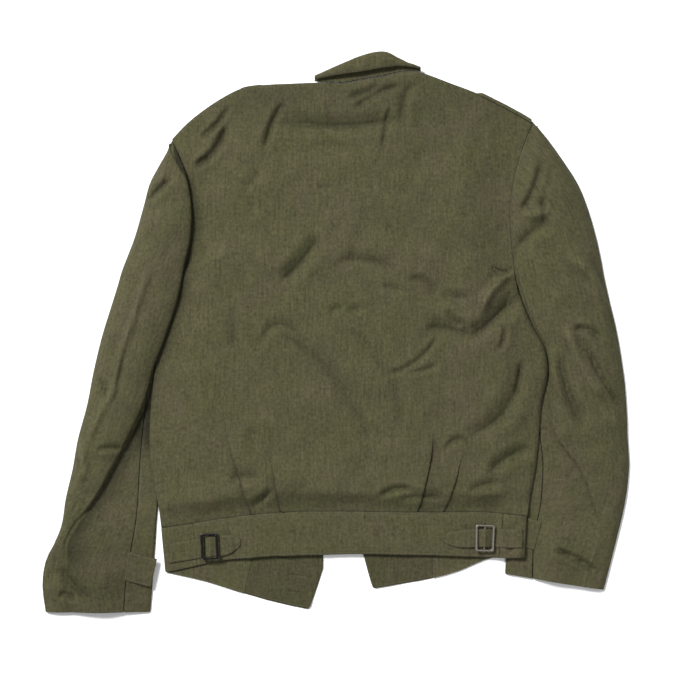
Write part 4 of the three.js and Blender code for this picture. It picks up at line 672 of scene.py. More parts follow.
def sleeve_path(r):
    """The section of a sleeve: seam, shelf, tuck, lip, crown, outer edge, floor, inner edge."""
    w = r["outer"] - r["lip"]
    tuck = r["lip"] + r["over"]
    climb = r["lipZ"] - r["shelf"]
    f = float(np.clip(r["over"] / 5, 0, 1) * smooth((climb - 4) / 2.6))
    steep = float(smooth((climb - 3) / 4))
    low = r["shelf"] + 0.32 * climb
    dome = float(smooth((r["mid"] - r["shelf"] - 1.5) / 1.5)) * (1 - f)

    def part(easy, sharp):
        return mix(r["seam"], r["lip"], mix(easy, sharp, steep))

    def high(easy, sharp):
        return r["shelf"] + climb * mix(easy, sharp, steep)

    def domed(at, t, x, z):
        return [mix(x, mix(r["seam"], r["lip"], at), dome),
                mix(z, mix(r["mid"], r["lipZ"], t), dome)]

    key = [
        [r["seam"], r["shelf"]],
        domed(0.38, 0, mix(part(0.3, 0.8), mix(r["seam"], tuck, 0.5), f),
              mix(high(0.3, 0), r["mid"], max(f, steep))),
        domed(0.66, 0.2, mix(part(0.6, 1.03), tuck + 0.6, f), mix(high(0.6, 0.3), low + 0.3, f)),
        domed(0.84, 0.55, mix(part(0.8, 1), mix(tuck, r["lip"], 0.5), f),
              mix(high(0.8, 0.7), mix(low, r["lipZ"] - 2.6, 0.75), f)),
        domed(0.94, 0.84, mix(part(0.9, 0.99), r["lip"] + 1.1, f),
              mix(high(0.9, 0.92), r["lipZ"] - 3.1, f)),
        [r["lip"], r["lipZ"]],
        [r["lip"] + 2.4, r["lipZ"] + 2.2 * f + 0.8],
        [r["lip"] + 0.2 * w + 0.6, mix(r["lipZ"] + 2, r["crown"], 0.8)],
        [r["lip"] + 0.45 * w, r["crown"]],
        [r["lip"] + 0.7 * w, r["crown"] * 0.92],
        [r["lip"] + 0.88 * w, r["crown"] * 0.66],
        [r["outer"] - 0.6, min(4.6, r["crown"] * 0.5)],
        [r["outer"], 2.2],
        [r["outer"] - 1.6, 0.3],
        [r["outer"] - 4.4, 0],
    ]
    path = soft_curve(key, KEY_STEPS)
    path[:, 1] = np.maximum(path[:, 1], 0)
    wrapped = r["wrap"] > WRAP_LEAST
    tail = [[mix(r["outer"], r["inner"], t), 0] for t in (0.25, 0.55, 0.8)]
    tail.append([r["inner"] + (4 if wrapped else 0) + SEAM_GAP, 0])
    turn = 0.0
    if wrapped:
        most = r["seam"] - SEAM_GAP - 0.35
        hook = [[min(r["inner"] + dx, most), dz] for dx, dz in
                ((1.6, 0.3), (0.3, 1.3), (0, 2.4), (0.3, 3.4), (1.6, 4.3), (4, 4.6))]
        hook.append([max(hook[5][0] + 0.01, most), r["shelf"]])
        bend = measured(np.array([tail[-1], *hook]))
        stops = bend["at"][-1] * r["wrap"] * np.arange(1, 9) / 8
        turn = float(stops[-1])
        tail += path_points(bend, stops).tolist()
    return measured(np.concatenate([path, tail])), turn


def measured(path):
    steps = np.linalg.norm(np.diff(path, axis=0), axis=1)
    return {"path": path, "at": np.concatenate([[0], np.cumsum(steps)])}


def path_points(m, stops):
    return np.stack([np.interp(stops, m["at"], m["path"][:, k]) for k in (0, 1)], axis=-1)


def crossing(m, across, on_floor):
    """How far along the path the crown, or the floor, crosses a value."""
    path, at = m["path"], m["at"]
    for i in range(LIP_CORNER * KEY_STEPS, len(path) - 1):
        a, b = path[i], path[i + 1]
        if (a[1] < 0.01 and b[1] < 0.01) != on_floor:
            continue
        if (a[0] - across) * (b[0] - across) <= 0:
            return at[i] + (at[i + 1] - at[i]) * abs((across - a[0]) / ((b[0] - a[0]) or 1))
    return at[-1] * 0.5


def piece_stops(m, turn, split, is_first, split_on_floor):
    """Where one part of a sleeve has its points along the path: at its corners and folds."""
    def corner(k):
        return float(m["at"][k * KEY_STEPS])

    def spread(a, b, n):
        return [mix(a, b, (i + 1) / n) for i in range(n)]

    end = float(m["at"][-1])
    folds = [corner(k) for k in range(7)]
    outer = [corner(k) for k in range(10, 15)]
    turn_start = end - max(turn, 3)
    last = spread(turn_start, end - SEAM_GAP, 5)
    if is_first and not split_on_floor:
        return folds + spread(corner(6), split, 4)
    if not is_first and not split_on_floor:
        return ([split] + spread(split, corner(11), 4) + [corner(12), corner(13), corner(14)]
                + spread(corner(14), turn_start, 4) + last)
    if is_first:
        return folds + spread(corner(6), corner(9), 5) + outer + spread(corner(14), split, 3)
    return [split] + spread(split, turn_start, 3) + last


def sleeve_piece(side, part, name):
    first, last = SLEEVES[side].rows[0, 0], SLEEVES[side].rows[-1, 0]
    is_first = (side < 0) == (part == "under")
    rows = []
    for y in np.linspace(first, last, 280):
        r = sleeve_row(side, y)
        m, turn = sleeve_path(r)
        if side < 0:
            split = crossing(m, r["parting"], False)
        else:
            split = crossing(m, mix(r["outer"], r["inner"], FLOOR_SPLIT), True)
        own = split + (-CLOSE_SEAM if is_first else CLOSE_SEAM) / 2
        rows.append((r, m, piece_stops(m, turn, own, is_first, side > 0), split))
    longest = np.diff(np.array([s for _, _, s, _ in rows]), axis=1).max(axis=0)
    cuts = [max(1, math.ceil(d / FINE)) for d in longest]
    points, flat = [], []
    for r, m, stops, split in rows:
        fine = [stops[0]]
        for a, b, n in zip(stops[:-1], stops[1:], cuts):
            fine += [mix(a, b, (i + 1) / n) for i in range(n)]
        s = np.array(fine)
        p = path_points(m, s)
        path, end = m["path"], m["at"][-1]
        before = path[0] + 2 * unit(path[0] - path[3])
        after = path[-1] + 2 * unit(path[-1] - path[-2])
        if is_first:
            p = np.concatenate([[before], p, path_points(m, [min(s[-1] + 2, end)])])
        else:
            p = np.concatenate([path_points(m, [s[0] - 2]), p, [after]])
        points.append(sleeve_points(side, r, p))
        flat.append(np.stack([side * (s - split), np.full(len(s), r["y"])], axis=-1))
    points, flat = np.array(points), np.array(flat)
    if side < 0:
        points, flat = points[:, ::-1], flat[:, ::-1]
    points, flat = points[::-1], flat[::-1]
    heights = np.array([[r["y"]] for r, *_ in rows[::-1]])
    shows = smooth((SEAM_SHOWS - heights) / 60)
    parting = "left" if (side < 0) == is_first else "right"
    sides = {"left": (0.5, 1.5, 0.2), "right": (0.5, 1.5, 0.2), "low": (0.3, 1.5, 0.15)}
    sides[parting] = (0.3 * shows, 1.5, 0.3 * shows)
    shade = under_lip_shade(points[:, 1:-1, 0], points[:, 1:-1, 1]) if side < 0 else 0
    return cloth_shell(name, points, CLOTH, ghosts=1, sides=sides, uv=flat, seed=11 + side,
                       shade=shade)


def under_lip_shade(x, y):
    """Painted shadow on the left sleeve between its lip and the body, less so towards the cuff."""
    past_lip = SLEEVES[-1].at("y", "lip", y) - 1.5 + x
    wedge = 2.6 * smooth((y + 175) / 50)
    fading = 1.9 * np.exp(-(past_lip / 19) ** 2) * smooth((y + 330) / 50)
    return smooth(past_lip / 2.5) * np.maximum(wedge, fading)


def unit(v):
    return v / max(float(np.linalg.norm(v)), 1e-9)


def sleeve_points(side, r, p):
    """A section of a sleeve in place, with its creases and looseness on top."""
    x = side * p[:, 0]
    y = r["y"] + r["tilt"] * (r["outer"] - p[:, 0])
    above = smooth((p[:, 1] - 4.8) / 6)
    edge = smooth((r["outer"] - p[:, 0]) / 16)
    near_arm = 0.25 + 0.75 * smooth((p[:, 0] - r["seam"]) / 20)
    loose = ripple(x, y, 62, 21) + ripple(x, y, 26, 23) * 0.35
    fold = (SLEEVE_FOLDS * crease_height(x, y) * near_arm + loose) * above * edge
    z = np.where(p[:, 1] < 0.02, 0, np.maximum(p[:, 1] + fold, np.minimum(p[:, 1], 4.6)))
    return np.stack([x, y, z], axis=-1)


# ---- Collar ----
COLLAR = Table("x fold fall neck z rise", [
    (-28, 336.4, 330.6, 328.7, 8.4, 5), (-8, 345, 334.5, 327.9, 10.6, 7.2),
    (11, 353, 337.5, 327.6, 12, 8.4), (31, 361, 340, 331.6, 12.4, 8.8),
    (50, 366.2, 343.5, 334.8, 12.4, 8.8), (66, 366.4, 346, 337.8, 12, 8.4),
    (83, 358, 347.8, 341.6, 10.8, 7.4), (98, 352, 346.4, 342.8, 9.6, 6),
    (110, 348.4, 344.4, 341.6, 8.4, 5)])


def collar_column(x):
    """One section of the collar: up from the neck, over the fold and back down."""
    fold, fall, neck, z, rise = (float(COLLAR.at("x", n, x)) for n in COLLAR.names[1:])
    neck += SEAM_GAP
    base, depth = z - 1, fold - neck
    return soft_curve([
        [neck, base - 0.2 * rise], [mix(neck, fold, 0.35), base - 0.34 * rise],
        [mix(neck, fold, 0.75), base - 0.3 * rise], [fold - 0.06 * depth - 0.2, base + 0.02 * rise],
        [fold, base + 0.32 * rise], [fold - 0.05 * depth - 0.2, base + 0.66 * rise],
        [mix(fold, fall, 0.35), base + 0.96 * rise], [mix(fold, fall, 0.7), base + 1.0 * rise],
        [fall, base + 0.86 * rise]], 6)


def collar_piece():
    xs = np.linspace(-28, 110, 96)
    sections = np.array([collar_column(x) for x in xs]).transpose(1, 0, 2)
    x = np.broadcast_to(xs, sections.shape[:2])
    loose = ripple(x, sections[..., 0], 24, 31) * 0.35
    points = np.stack([x, sections[..., 0], sections[..., 1] + loose], axis=-1)[::-1]
    sides = {"low": (0.5, 1.2, 0.3)}
    return cloth_shell("collar_cloth", points, 1.2, sides=sides, coarse=2, seed=41)


# ---- Waistband ----
BAND_ENDS = {"left": (-187, -181), "right": (217, 211)}
BAND_ROWS = np.concatenate([np.linspace(0, 0.09, 8, endpoint=False),
                            np.linspace(0.09, 0.89, 26, endpoint=False), np.linspace(0.89, 1, 10)])


def waistband_back():
    def place(u, v):
        top = mix(BAND_ENDS["left"][0], BAND_ENDS["right"][0], u)
        hem = mix(BAND_ENDS["left"][1], BAND_ENDS["right"][1], u)
        x = mix(hem, top, v)
        y = mix(HEM_EDGE.at("x", "y", x), WAIST_SEAM.at("x", "y", x) - SEAM_GAP, v)
        loose = ripple(x, y, 46, 51) * 0.45 + ripple(x, y * 0.4, 19, 53) * 0.16
        return x, y, band_top(x, y) + loose * smooth((x + 187) / 20) * smooth((217 - x) / 20)

    points = grid(np.linspace(0, 1, 250), BAND_ROWS, place)
    sides = {"high": (0.9, 1.3, 0.22, 3.6), "low": (0.8, 1.2, 0.16, 2.6), "left": (0.5, 1.2, 0),
             "right": (0.5, 1.2, 0)}
    return cloth_shell("waistband_back_cloth", points, BAND_WALL, drop=True, sides=sides, seed=55)


BAND_WRAP = {
    -1: Table("i topX topY hemX hemY level", [
        (0, -187.3, -246.7, -181.3, -301.3, 1), (1, -206, -249.4, -200, -305.5, 1),
        (2, -221, -251.6, -215, -308.6, 1), (3, -226.6, -252.4, -220.8, -309.8, 0.86),
        (4, -228.4, -252.8, -222.8, -310.2, 0.5), (5, -226.6, -253.6, -220.6, -310.8, 0.14),
        (6, -221, -254.8, -213, -312.6, 0), (7, -190, -262.6, -172, -322, 0),
        (8, -150, -272, -140, -332, 0), (9, -108, -283, -120.5, -338, 0),
        (10, -64, -293.6, -76, -350.4, 0), (11, -17, -304.6, -33, -359.4, 0)]),
    1: Table("i topX topY hemX hemY level", [
        (0, 217.7, -233.4, 211.7, -291, 1), (1, 230, -234.6, 225, -290.8, 1),
        (2, 241, -235.8, 238, -290.4, 1), (3, 246.4, -236.6, 243.4, -289.8, 0.86),
        (4, 248, -237, 245, -289.6, 0.5), (5, 246.4, -237.4, 243.4, -289.8, 0.14),
        (6, 241, -238.4, 237, -290.2, 0), (7, 214, -241.6, 200, -292.6, 0),
        (8, 170, -249, 160, -308.6, 0), (9, 124, -259, 127, -318, 0),
        (10, 78, -268, 86, -325.6, 0), (11, 33, -277, 46, -332.4, 0)]),
}
BAND_JOINT = 9                  # the row where the side length meets the front length
BAND_END = 11                   # the row at the front edge
BAND_CORNER = 7                 # how far the corner of the front edge is rounded
FRONT_STEP = {-1: 47, 1: 45}    # from row to row of the front length
# From ax, ay to bx, by.
BUTTONHOLES = ((-64, -313.4, -37, -316.6), (-66, -335, -41, -338.2))
# Where the right end is bunched up: x, y, reach, height.
BUNCHED = ((234, -249.5, 3.2, -2.6), (227, -280, 3.0, -2.6), (240, -284, 4.0, 1.4),
           (226, -242, 5.0, 0.9))


def band_point(side, t, s):
    """A point of the band where it wraps round to the front: t by its rows, s up its width."""
    top_x, top_y, hem_x, hem_y, level = (
        BAND_WRAP[side].at("i", n, t) for n in BAND_WRAP[side].names[1:])
    level = np.clip(level, 0, 1)
    x, y = mix(hem_x, top_x, s), mix(hem_y, top_y, s)
    below = lift(x, y)
    z = below + (band_top(x, y) - below) * level
    for px, py, reach, high in BUNCHED if side > 0 else ():
        near = bell((x - px) / reach) * bell((y - py) / (reach * 1.4))
        z = z + high * near * smooth((level - 0.9) * 10)
    return x, y, z


def band_side(side, name):
    ts = np.concatenate([np.linspace(0, 2, 28, endpoint=False),
                         np.linspace(2, 6, 44, endpoint=False), np.linspace(6, BAND_JOINT, 64)])
    points = grid(ts, np.linspace(0, 1, 34), lambda t, s: band_point(side, t, s))
    if side < 0:
        points = points[:, ::-1]
    sides = {"high": (0.4, 1.3, 0.1), "low": (0.4, 1.2, 0.1)}
    return cloth_shell(name, points, BAND_WALL, sides=sides, coarse=1, seed=57)


def band_front(side, name):
    def place(t, s):
        x, y, z = band_point(side, t, s)
        to_edge = (BAND_END - t) * FRONT_STEP[side]
        near = np.clip(1 - to_edge / BAND_CORNER, 0, 1)
        y = y + (1 - s) ** 2 * BAND_CORNER * (1 - np.sqrt(1 - near ** 2))
        loose = ripple(x, y, 40, 61) * 0.3
        for ax, ay, bx, by in BUTTONHOLES if side < 0 else ():
            along = (x - ax) / (bx - ax)
            ends = smooth(along * 9) * smooth((1 - along) * 9)
            loose = loose - 0.9 * bell((y - mix(ay, by, along)) / 0.9) * ends
        return x, y, z + BAND_WALL + np.maximum(loose, -1.2)

    points = grid(np.linspace(BAND_JOINT + 0.007, BAND_END, 64), np.linspace(0, 1, 58), place)
    if side > 0:
        points = points[:, ::-1]
    ends = ("left", "right") if side < 0 else ("right", "left")
    sides = {"high": (0.05, 1.3, 0), "low": (0.7, 1.2, 0.12), ends[0]: (0.5, 1.2, 0),
             ends[1]: (0.7, 1.2, 0.1)}
    return cloth_shell(name, points, BAND_WALL - 0.1, drop=True, sides=sides, seed=63)


# ---- Adjusters: a strap from the side, a tab on the band and a buckle between them ----
BUCKLES = {
    -1: {"x": -164, "y": -275.5, "turn": 0.05, "long": 34, "wide": 24},
    1: {"x": 193, "y": -264.5, "turn": -0.03, "long": 34.5, "wide": 24},
}
STRAPS = {
    -1: Table("x high low", [(-217, -272.4, -298), (-190, -267.6, -293.6), (-170, -264, -290),
                             (-146, -260.8, -287.6), (-136, -261, -284), (-129, -263, -279.6),
                             (-125.2, -266, -275.4), (-124, -269.2, -272)]),
    1: Table("x high low", [(242, -252.6, -277.4), (214, -252.6, -277), (193, -252.8, -276.6),
                            (165, -254, -277), (152, -255.8, -275.4), (144, -258.6, -272.6),
                            (140.4, -261.6, -269.4), (139.2, -264.4, -267)]),
}
BUCKLE_TABS = {
    -1: {"from": -164.8, "to": -138.6, "low": -288.4, "high": -257.2, "slant": 1.4},
    1: {"from": 163.4, "to": 193.8, "low": -278.6, "high": -246.6, "slant": 2.2},
}
# Corners of the cuff tabs: the two at the cuff, then the two above them, going back.
CUFF_TABS = {
    -1: ((-276, -319.6), (-241, -329), (-233, -292.4), (-271.4, -282.4)),
    1: ((239.6, -277), (258, -280.6), (267, -244), (249, -239)),
}


def strip(name, rail, out, wall, across, along, seed):
    """A strip on the band, from the band's own points moved out."""
    def place(t, s):
        (lx, ly), (hx, hy) = rail(t)
        x, y = mix(lx, hx, s), mix(ly, hy, s)
        return x, y, band_top(x, y) + out(x) + wall + ripple(x, y, 21, seed) * 0.12

    points = grid(np.linspace(0, 1, along), np.linspace(0, 1, across), place)
    sides = {n: (0.55, 1.0, 0.08) for n in ALL_EDGES}
    return cloth_shell(name, points, wall, drop=True, sides=sides, coarse=2, seed=seed)


def adjuster_strap(side, name):
    rows, buckle, tab = STRAPS[side], BUCKLES[side], BUCKLE_TABS[side]
    a, z = sorted((rows.rows[0, 0], rows.rows[-1, 0]))

    def rail(t):
        x = mix(a, z, t)
        return (x, rows.at("x", "low", x)), (x, rows.at("x", "high", x))

    def out(x):
        hump = bell((x - buckle["x"]) / 2.7)
        on_tab = smooth((x - tab["from"] + 9) / 6) * smooth((tab["to"] + 9 - x) / 6)
        return SEAM_GAP + 0.15 + (TAB_WALL + SEAM_GAP) * on_tab + 2.6 * hump

    return strip(name, rail, out, STRAP_WALL, 22, 96, 71 + side)


def buckle_tab(side, name):
    r = BUCKLE_TABS[side]

    def rail(t):
        x = mix(r["from"], r["to"], t)
        return (x, r["low"] + r["slant"] * t), (x, r["high"] + r["slant"] * t * 0.5)

    return strip(name, rail, lambda x: SEAM_GAP, TAB_WALL, 24, 22, 75 + side)


def sleeve_top(side, x, y):
    """How high a sleeve reaches at a place."""
    path = sleeve_path(sleeve_row(side, y))[0]["path"]
    ax, best = side * x, 0.0
    for a, b in zip(path[:-1], path[1:]):
        if (a[0] - ax) * (b[0] - ax) <= 0 and a[0] != b[0]:
            best = max(best, mix(a[1], b[1], (ax - a[0]) / (b[0] - a[0])))
    return best


def cuff_tab(side, name):
    c = CUFF_TABS[side]
    points = np.zeros((22, 22, 3))
    for j, t in enumerate(np.linspace(0, 1, 22)):
        for i, s in enumerate(np.linspace(0, 1, 22)):
            x = mix(mix(c[0][0], c[1][0], s), mix(c[3][0], c[2][0], s), t)
            y = mix(mix(c[0][1], c[1][1], s), mix(c[3][1], c[2][1], s), t)
            row = sleeve_row(side, y)
            inside = max(side * x, row["inner"] + 6)
            z = max(sleeve_top(side, side * inside, y), row["shelf"])
            points[j, i] = x, y, z + SEAM_GAP + 0.6 + TAB_WALL
    sides = {n: (0.5, 1.0, 0.08) for n in ALL_EDGES}
    return cloth_shell(name, points, TAB_WALL, drop=True, sides=sides, coarse=2, seed=81)


# ---- Shoulder straps ----
def shoulder_strap_right():
    rows = []
    for t in np.linspace(0, 1, 60):
        x = mix(150, 254, t)
        edge = float(TOP_EDGE.at("x", "y", x))
        slope = float(TOP_EDGE.at("x", "y", x + 1) - TOP_EDGE.at("x", "y", x - 1)) / 2
        nx, ny = -slope / math.hypot(1, slope), 1 / math.hypot(1, slope)
        tip = 0.35 + 0.65 * float(smooth(t / 0.12))
        rest = float(TOP_HEIGHT.at("x", "z", x)) + STRAP_WALL * 2 + SEAM_GAP + 0.5
        rise = BACK_LOFT - EDGE_STACK
        key = np.array([[-42, 0], [-20, 0], [-2, 0], [1.8, 0.6], [2.8, 2.6], [2.9, rest - 2],
                        [2.2, rest - 0.4], [1.2, rest], [0, rest + rise * shoulder_roll(0.6)],
                        [-1.6 * tip, rest + rise * shoulder_roll(2)]], float)
        at = np.linspace(0, len(key) - 1, 64)
        off, z = (np.interp(at, np.arange(len(key)), key[:, k]) for k in (0, 1))
        shows = float(smooth((x - 180) / 10))
        z = mix(np.minimum(z, STRAP_WALL + 1), z, shows)
        off = mix(np.minimum(off, -1), off, shows)
        rows.append(np.stack([x + nx * off, edge + ny * off, z], axis=-1))
    points = np.array(rows).transpose(1, 0, 2)[:, ::-1]
    sides = {"high": (0.5, 1.0, 0.1), "left": (0.5, 1.0, 0), "right": (0.5, 1.0, 0)}
    return cloth_shell("shoulder_strap_right_cloth", points, STRAP_WALL, sides=sides, coarse=2,
                       seed=91)


def shoulder_strap_left():
    def place(t, s):
        x = mix(-182, -94, t)
        out = 2.6 * smooth((x + 134) / 12) * smooth((-93 - x) / 6) - 1.5
        return x, TOP_EDGE.at("x", "y", x) + mix(-44, out, s), np.full(x.shape, STRAP_WALL)

    points = grid(np.linspace(0, 1, 48), np.linspace(0, 1, 24), place)
    return cloth_shell("shoulder_strap_left_cloth", points, STRAP_WALL, drop=True,
                       sides={"high": (0.4, 1.0, 0.05)}, coarse=2, seed=93)


# ---- Buckles ----
BUCKLE_SECTION = 14                       # points round the section of the frame
CORNER_POINTS = 24                        # points round each corner of the frame
SQUARENESS = 0.62                         # 1 would be a round section, 0 a square one
ROD_SECTION = 12
ROD_RADIUS = 0.78
BUCKLE_BARS = {-1: (4.5, 3.0), 1: (2.7, 2.2)}    # widths of the long and the short bars
BUCKLE_BEND = {-1: 0.12, 1: 0.5}


def rounded_loop(w, h, r):
    """Points round a rectangle with round corners, evenly spaced in each corner."""
    out = []
    for cx, cy, start in ((1, 1, 0), (-1, 1, 90), (-1, -1, 180), (1, -1, 270)):
        for a in np.radians(start + np.linspace(0, 90, CORNER_POINTS)):
            out.append((cx * (w / 2 - r) + r * math.cos(a), cy * (h / 2 - r) + r * math.sin(a)))
    return np.array(out)


def ring_quads(ids, following):
    """Quads from closed rings of points to the rings that follow them."""
    corners = [ids, np.roll(ids, -1, 1), np.roll(following, -1, 1), following]
    return np.stack(corners, -1).reshape(-1, 4)


def turn_points(verts, a, b, angle):
    """Turns points from axis a towards axis b."""
    first, second = verts[:, a].copy(), verts[:, b].copy()
    verts[:, a] = first * math.cos(angle) - second * math.sin(angle)
    verts[:, b] = second * math.cos(angle) + first * math.sin(angle)


def buckle(side, name):
    b = BUCKLES[side]
    base = float(band_top(b["x"], b["y"])) + SEAM_GAP
    frame_z = base + TAB_WALL + SEAM_GAP + STRAP_WALL + SEAM_GAP + 1.5
    slope = float(band_top(b["x"] + 11, b["y"]) - band_top(b["x"] - 11, b["y"])) / 22
    bar_wide, end_wide = BUCKLE_BARS[side]
    outer = rounded_loop(b["wide"], b["long"], 2.6)
    inner = rounded_loop(b["wide"] - 2 * bar_wide, b["long"] - 2 * end_wide, 1.7)
    verts = []
    for a in math.tau * np.arange(BUCKLE_SECTION) / BUCKLE_SECTION:
        c, s = math.cos(a), math.sin(a)
        across = 0.5 - 0.5 * math.copysign(abs(c) ** SQUARENESS, c)
        z = 0.5 + 0.5 * math.copysign(abs(s) ** SQUARENESS, s)
        ring = mix(outer, inner, across)
        verts.append(np.column_stack([ring, np.full(len(ring), z * BUCKLE_WALL)]))
    verts = np.concatenate(verts)
    ids = np.arange(len(verts)).reshape(BUCKLE_SECTION, -1)
    faces = ring_quads(ids, np.roll(ids, -1, axis=0))[:, ::-1].tolist()
    # The rod that the strap runs over hangs from the middle of both short bars.
    bar_low = TAB_WALL + SEAM_GAP + 0.3 - (frame_z - base)
    half = b["long"] / 2
    climb = [(half - 1.7, 0.8), (half - 1.9, bar_low + 1.2), (half - 3.6, bar_low + 0.75)]
    line = np.array([(0, -y, z) for y, z in climb] + [(0, y, z) for y, z in climb[::-1]])
    ids = len(verts) + np.arange(len(line) * ROD_SECTION).reshape(-1, ROD_SECTION)
    e1 = np.array([1.0, 0, 0])
    rod = []
    for i, p in enumerate(line):
        e2 = np.cross(unit(line[min(i + 1, len(line) - 1)] - line[max(i - 1, 0)]), e1)
        rod += [p + ROD_RADIUS * (math.cos(a) * e1 * 1.3 + math.sin(a) * e2)
                for a in math.tau * np.arange(ROD_SECTION) / ROD_SECTION]
    faces += ring_quads(ids[:-1], ids[1:]).tolist() + [ids[0][::-1].tolist(), ids[-1].tolist()]
    verts = np.concatenate([verts, rod])
    x, y = verts[:, 0], verts[:, 1]
    verts[:, 2] += BUCKLE_BEND[side] * np.sin(x * 0.2 + 0.5) * np.sin(y * 0.13)
    if side > 0:
        verts[:, 0] += 0.5 * np.cos(y * 0.17 + 0.6) * np.sign(-x)
    turn_points(verts, 2, 0, -math.atan(slope))
    turn_points(verts, 0, 1, b["turn"])
    verts += (b["x"], b["y"], frame_z)
    obj = make_mesh(name, verts * MM, faces)
    fix = bmesh.new()
    fix.from_mesh(obj.data)
    bmesh.ops.recalc_face_normals(fix, faces=fix.faces)
    fix.to_mesh(obj.data)
    fix.free()
    return obj


# ---- Shader expressions ----
class Wire:
    """A shader socket that takes part in Python sums."""

    def __init__(self, graph, socket):
        self.graph = graph
        self.socket = socket

    def math(self, operation, *others):
        values = {i: v for i, v in enumerate((self, *others))}
        return self.graph.wire("ShaderNodeMath", {"operation": operation}, values)

    def __add__(self, other):
        return self.math("ADD", other)

    def __mul__(self, other):
        return self.math("MULTIPLY", other)

    def __sub__(self, other):
        return self.math("SUBTRACT", other)


class Graph:
    """The node tree of a new material, or the tree that is handed in."""

    def __init__(self, name, tree=None):
        if tree is None:
            self.material = bpy.data.materials.new(name)
            self.material.use_nodes = True
            tree = self.material.node_tree
            tree.nodes.clear()
        self.tree = tree

    def node(self, kind, settings=None, sockets=None):
        """A node with its settings first and then the values or wires of its sockets."""
        node = self.tree.nodes.new(kind)
        for key, value in (settings or {}).items():
            setattr(node, key, value)
        for key, value in (sockets or {}).items():
            socket = node.inputs[key]
            if isinstance(value, Wire):
                self.tree.links.new(value.socket, socket)
            else:
                socket.default_value = value
        return node

    def wire(self, kind, settings=None, sockets=None, out=0):
        return Wire(self, self.node(kind, settings, sockets).outputs[out])

    def scaled(self, vector, x, y):
        return self.wire("ShaderNodeVectorMath", {"operation": "MULTIPLY"},
                         {0: vector, 1: (x, y, 1.0)})

    def object_place(self):
        return Wire(self, self.node("ShaderNodeTexCoord").outputs["Object"])

    def mark(self, name):
        """A number that the mesh holds at its points."""
        return self.wire("ShaderNodeAttribute", {"attribute_name": name}, None, 2)

    def noise(self, vector, scale, detail, roughness):
        return self.wire("ShaderNodeTexNoise", {"noise_dimensions": "3D"}, {
            "Vector": vector, "Scale": scale, "Detail": detail, "Roughness": roughness})

    def ramp(self, factor, low, high):
        """From 0 to 1 as the factor goes from low to high."""
        return self.wire("ShaderNodeMapRange", {"clamp": True},
                         {"Value": factor, "From Min": low, "From Max": high})

    def blend(self, factor, a, b, how="MIX"):
        node = self.node("ShaderNodeMix", {"data_type": "RGBA", "blend_type": how})
        for index, value in ((0, factor), (6, a), (7, b)):
            if isinstance(value, Wire):
                self.tree.links.new(value.socket, node.inputs[index])
            else:
                node.inputs[index].default_value = value
        return Wire(self, node.outputs[2])

    def finish(self, shader):
        out = self.node("ShaderNodeOutputMaterial")
        self.tree.links.new(shader.outputs[0], out.inputs["Surface"])
        return self.material


def rgb(colour, by=1.0):
    return (colour[0] * by, colour[1] * by, colour[2] * by, 1.0)


def serge(name, settings, tone=1.0, worn_edge=1.0):
    """Wool serge: a fine steep twill of mixed olive yarns, with a short nap."""
    g = Graph(name)
    cloth = g.wire("ShaderNodeUVMap", {"uv_map": "cloth"})
    place = g.object_place()
    olive, brown, green = settings.olive, settings.brown, settings.green
    broad = g.ramp(g.noise(place, 9.0, 3.0, 0.55), 0.38, 0.62)
    patch = g.ramp(g.noise(place, 24.0, 3.0, 0.6), 0.38, 0.64)
    # A tone below 1 darkens the whole copy, as painted shade.
    base = g.blend(broad * 0.6, rgb(olive, tone), rgb(brown, tone))
    base = g.blend(patch * 0.6, base, rgb(green, tone))
    streak = g.noise(g.scaled(cloth, 1.0, 0.1), 330.0, 2.0, 0.6)
    grain = g.noise(g.scaled(cloth, 1.0, 0.7), 310.0, 2.0, 0.65)
    weft = g.noise(g.scaled(cloth, 0.2, 1.0), 420.0, 2.0, 0.6)
    mottle = g.noise(cloth, 60.0, 3.0, 0.6)
    split = g.node("ShaderNodeSeparateXYZ", None, {0: cloth})
    x, y = Wire(g, split.outputs[0]), Wire(g, split.outputs[1])
    # Ribs that climb two steps for each step across.
    twill = ((x * 0.894 - y * 0.447) * (math.tau / settings.twill_pitch)).math("SINE")
    heather = ((streak - 0.5) * 0.75 + (grain - 0.5) * 1.25 + (weft - 0.5) * 0.4
               + (mottle - 0.5) * 0.45 + twill * 0.035)
    # The yarns' heather, times the painted shade and painted highlight held at the mesh's points.
    light = (heather * settings.heather + 1.0) * (g.mark("painted_light_and_shade") * -settings.painted_shade_strength + 1.0)
    speck = g.ramp(g.noise(g.scaled(cloth, 1.0, 0.7), 460.0, 1.0, 0.5), 0.66, 0.78)
    grey = g.wire("ShaderNodeCombineColor", None, {0: light, 1: light, 2: light})
    shaded = g.blend(1.0, base, grey, "MULTIPLY")
    colour = g.blend(speck * 0.34, shaded, rgb(settings.fleck))
    rub = g.mark("worn") * g.ramp(g.noise(place, 90.0, 2.0, 0.6), 0.35, 0.7) * (0.22 * worn_edge)
    colour = g.blend(rub, colour, rgb(settings.fleck, 0.85))
    height = streak * 0.45 + grain * 0.8 + weft * 0.3 + twill * 0.16
    bump = g.wire("ShaderNodeBump", None, {"Strength": 0.55, "Distance": 0.0006, "Height": height})
    shader = g.node("ShaderNodeBsdfPrincipled", None, {
        "Base Color": colour, "Roughness": 0.92, "Normal": bump, "Specular IOR Level": 0.18,
        "Sheen Weight": 0.06, "Sheen Roughness": 0.45, "Sheen Tint": rgb((0.6, 0.58, 0.4))})
    return g.finish(shader)


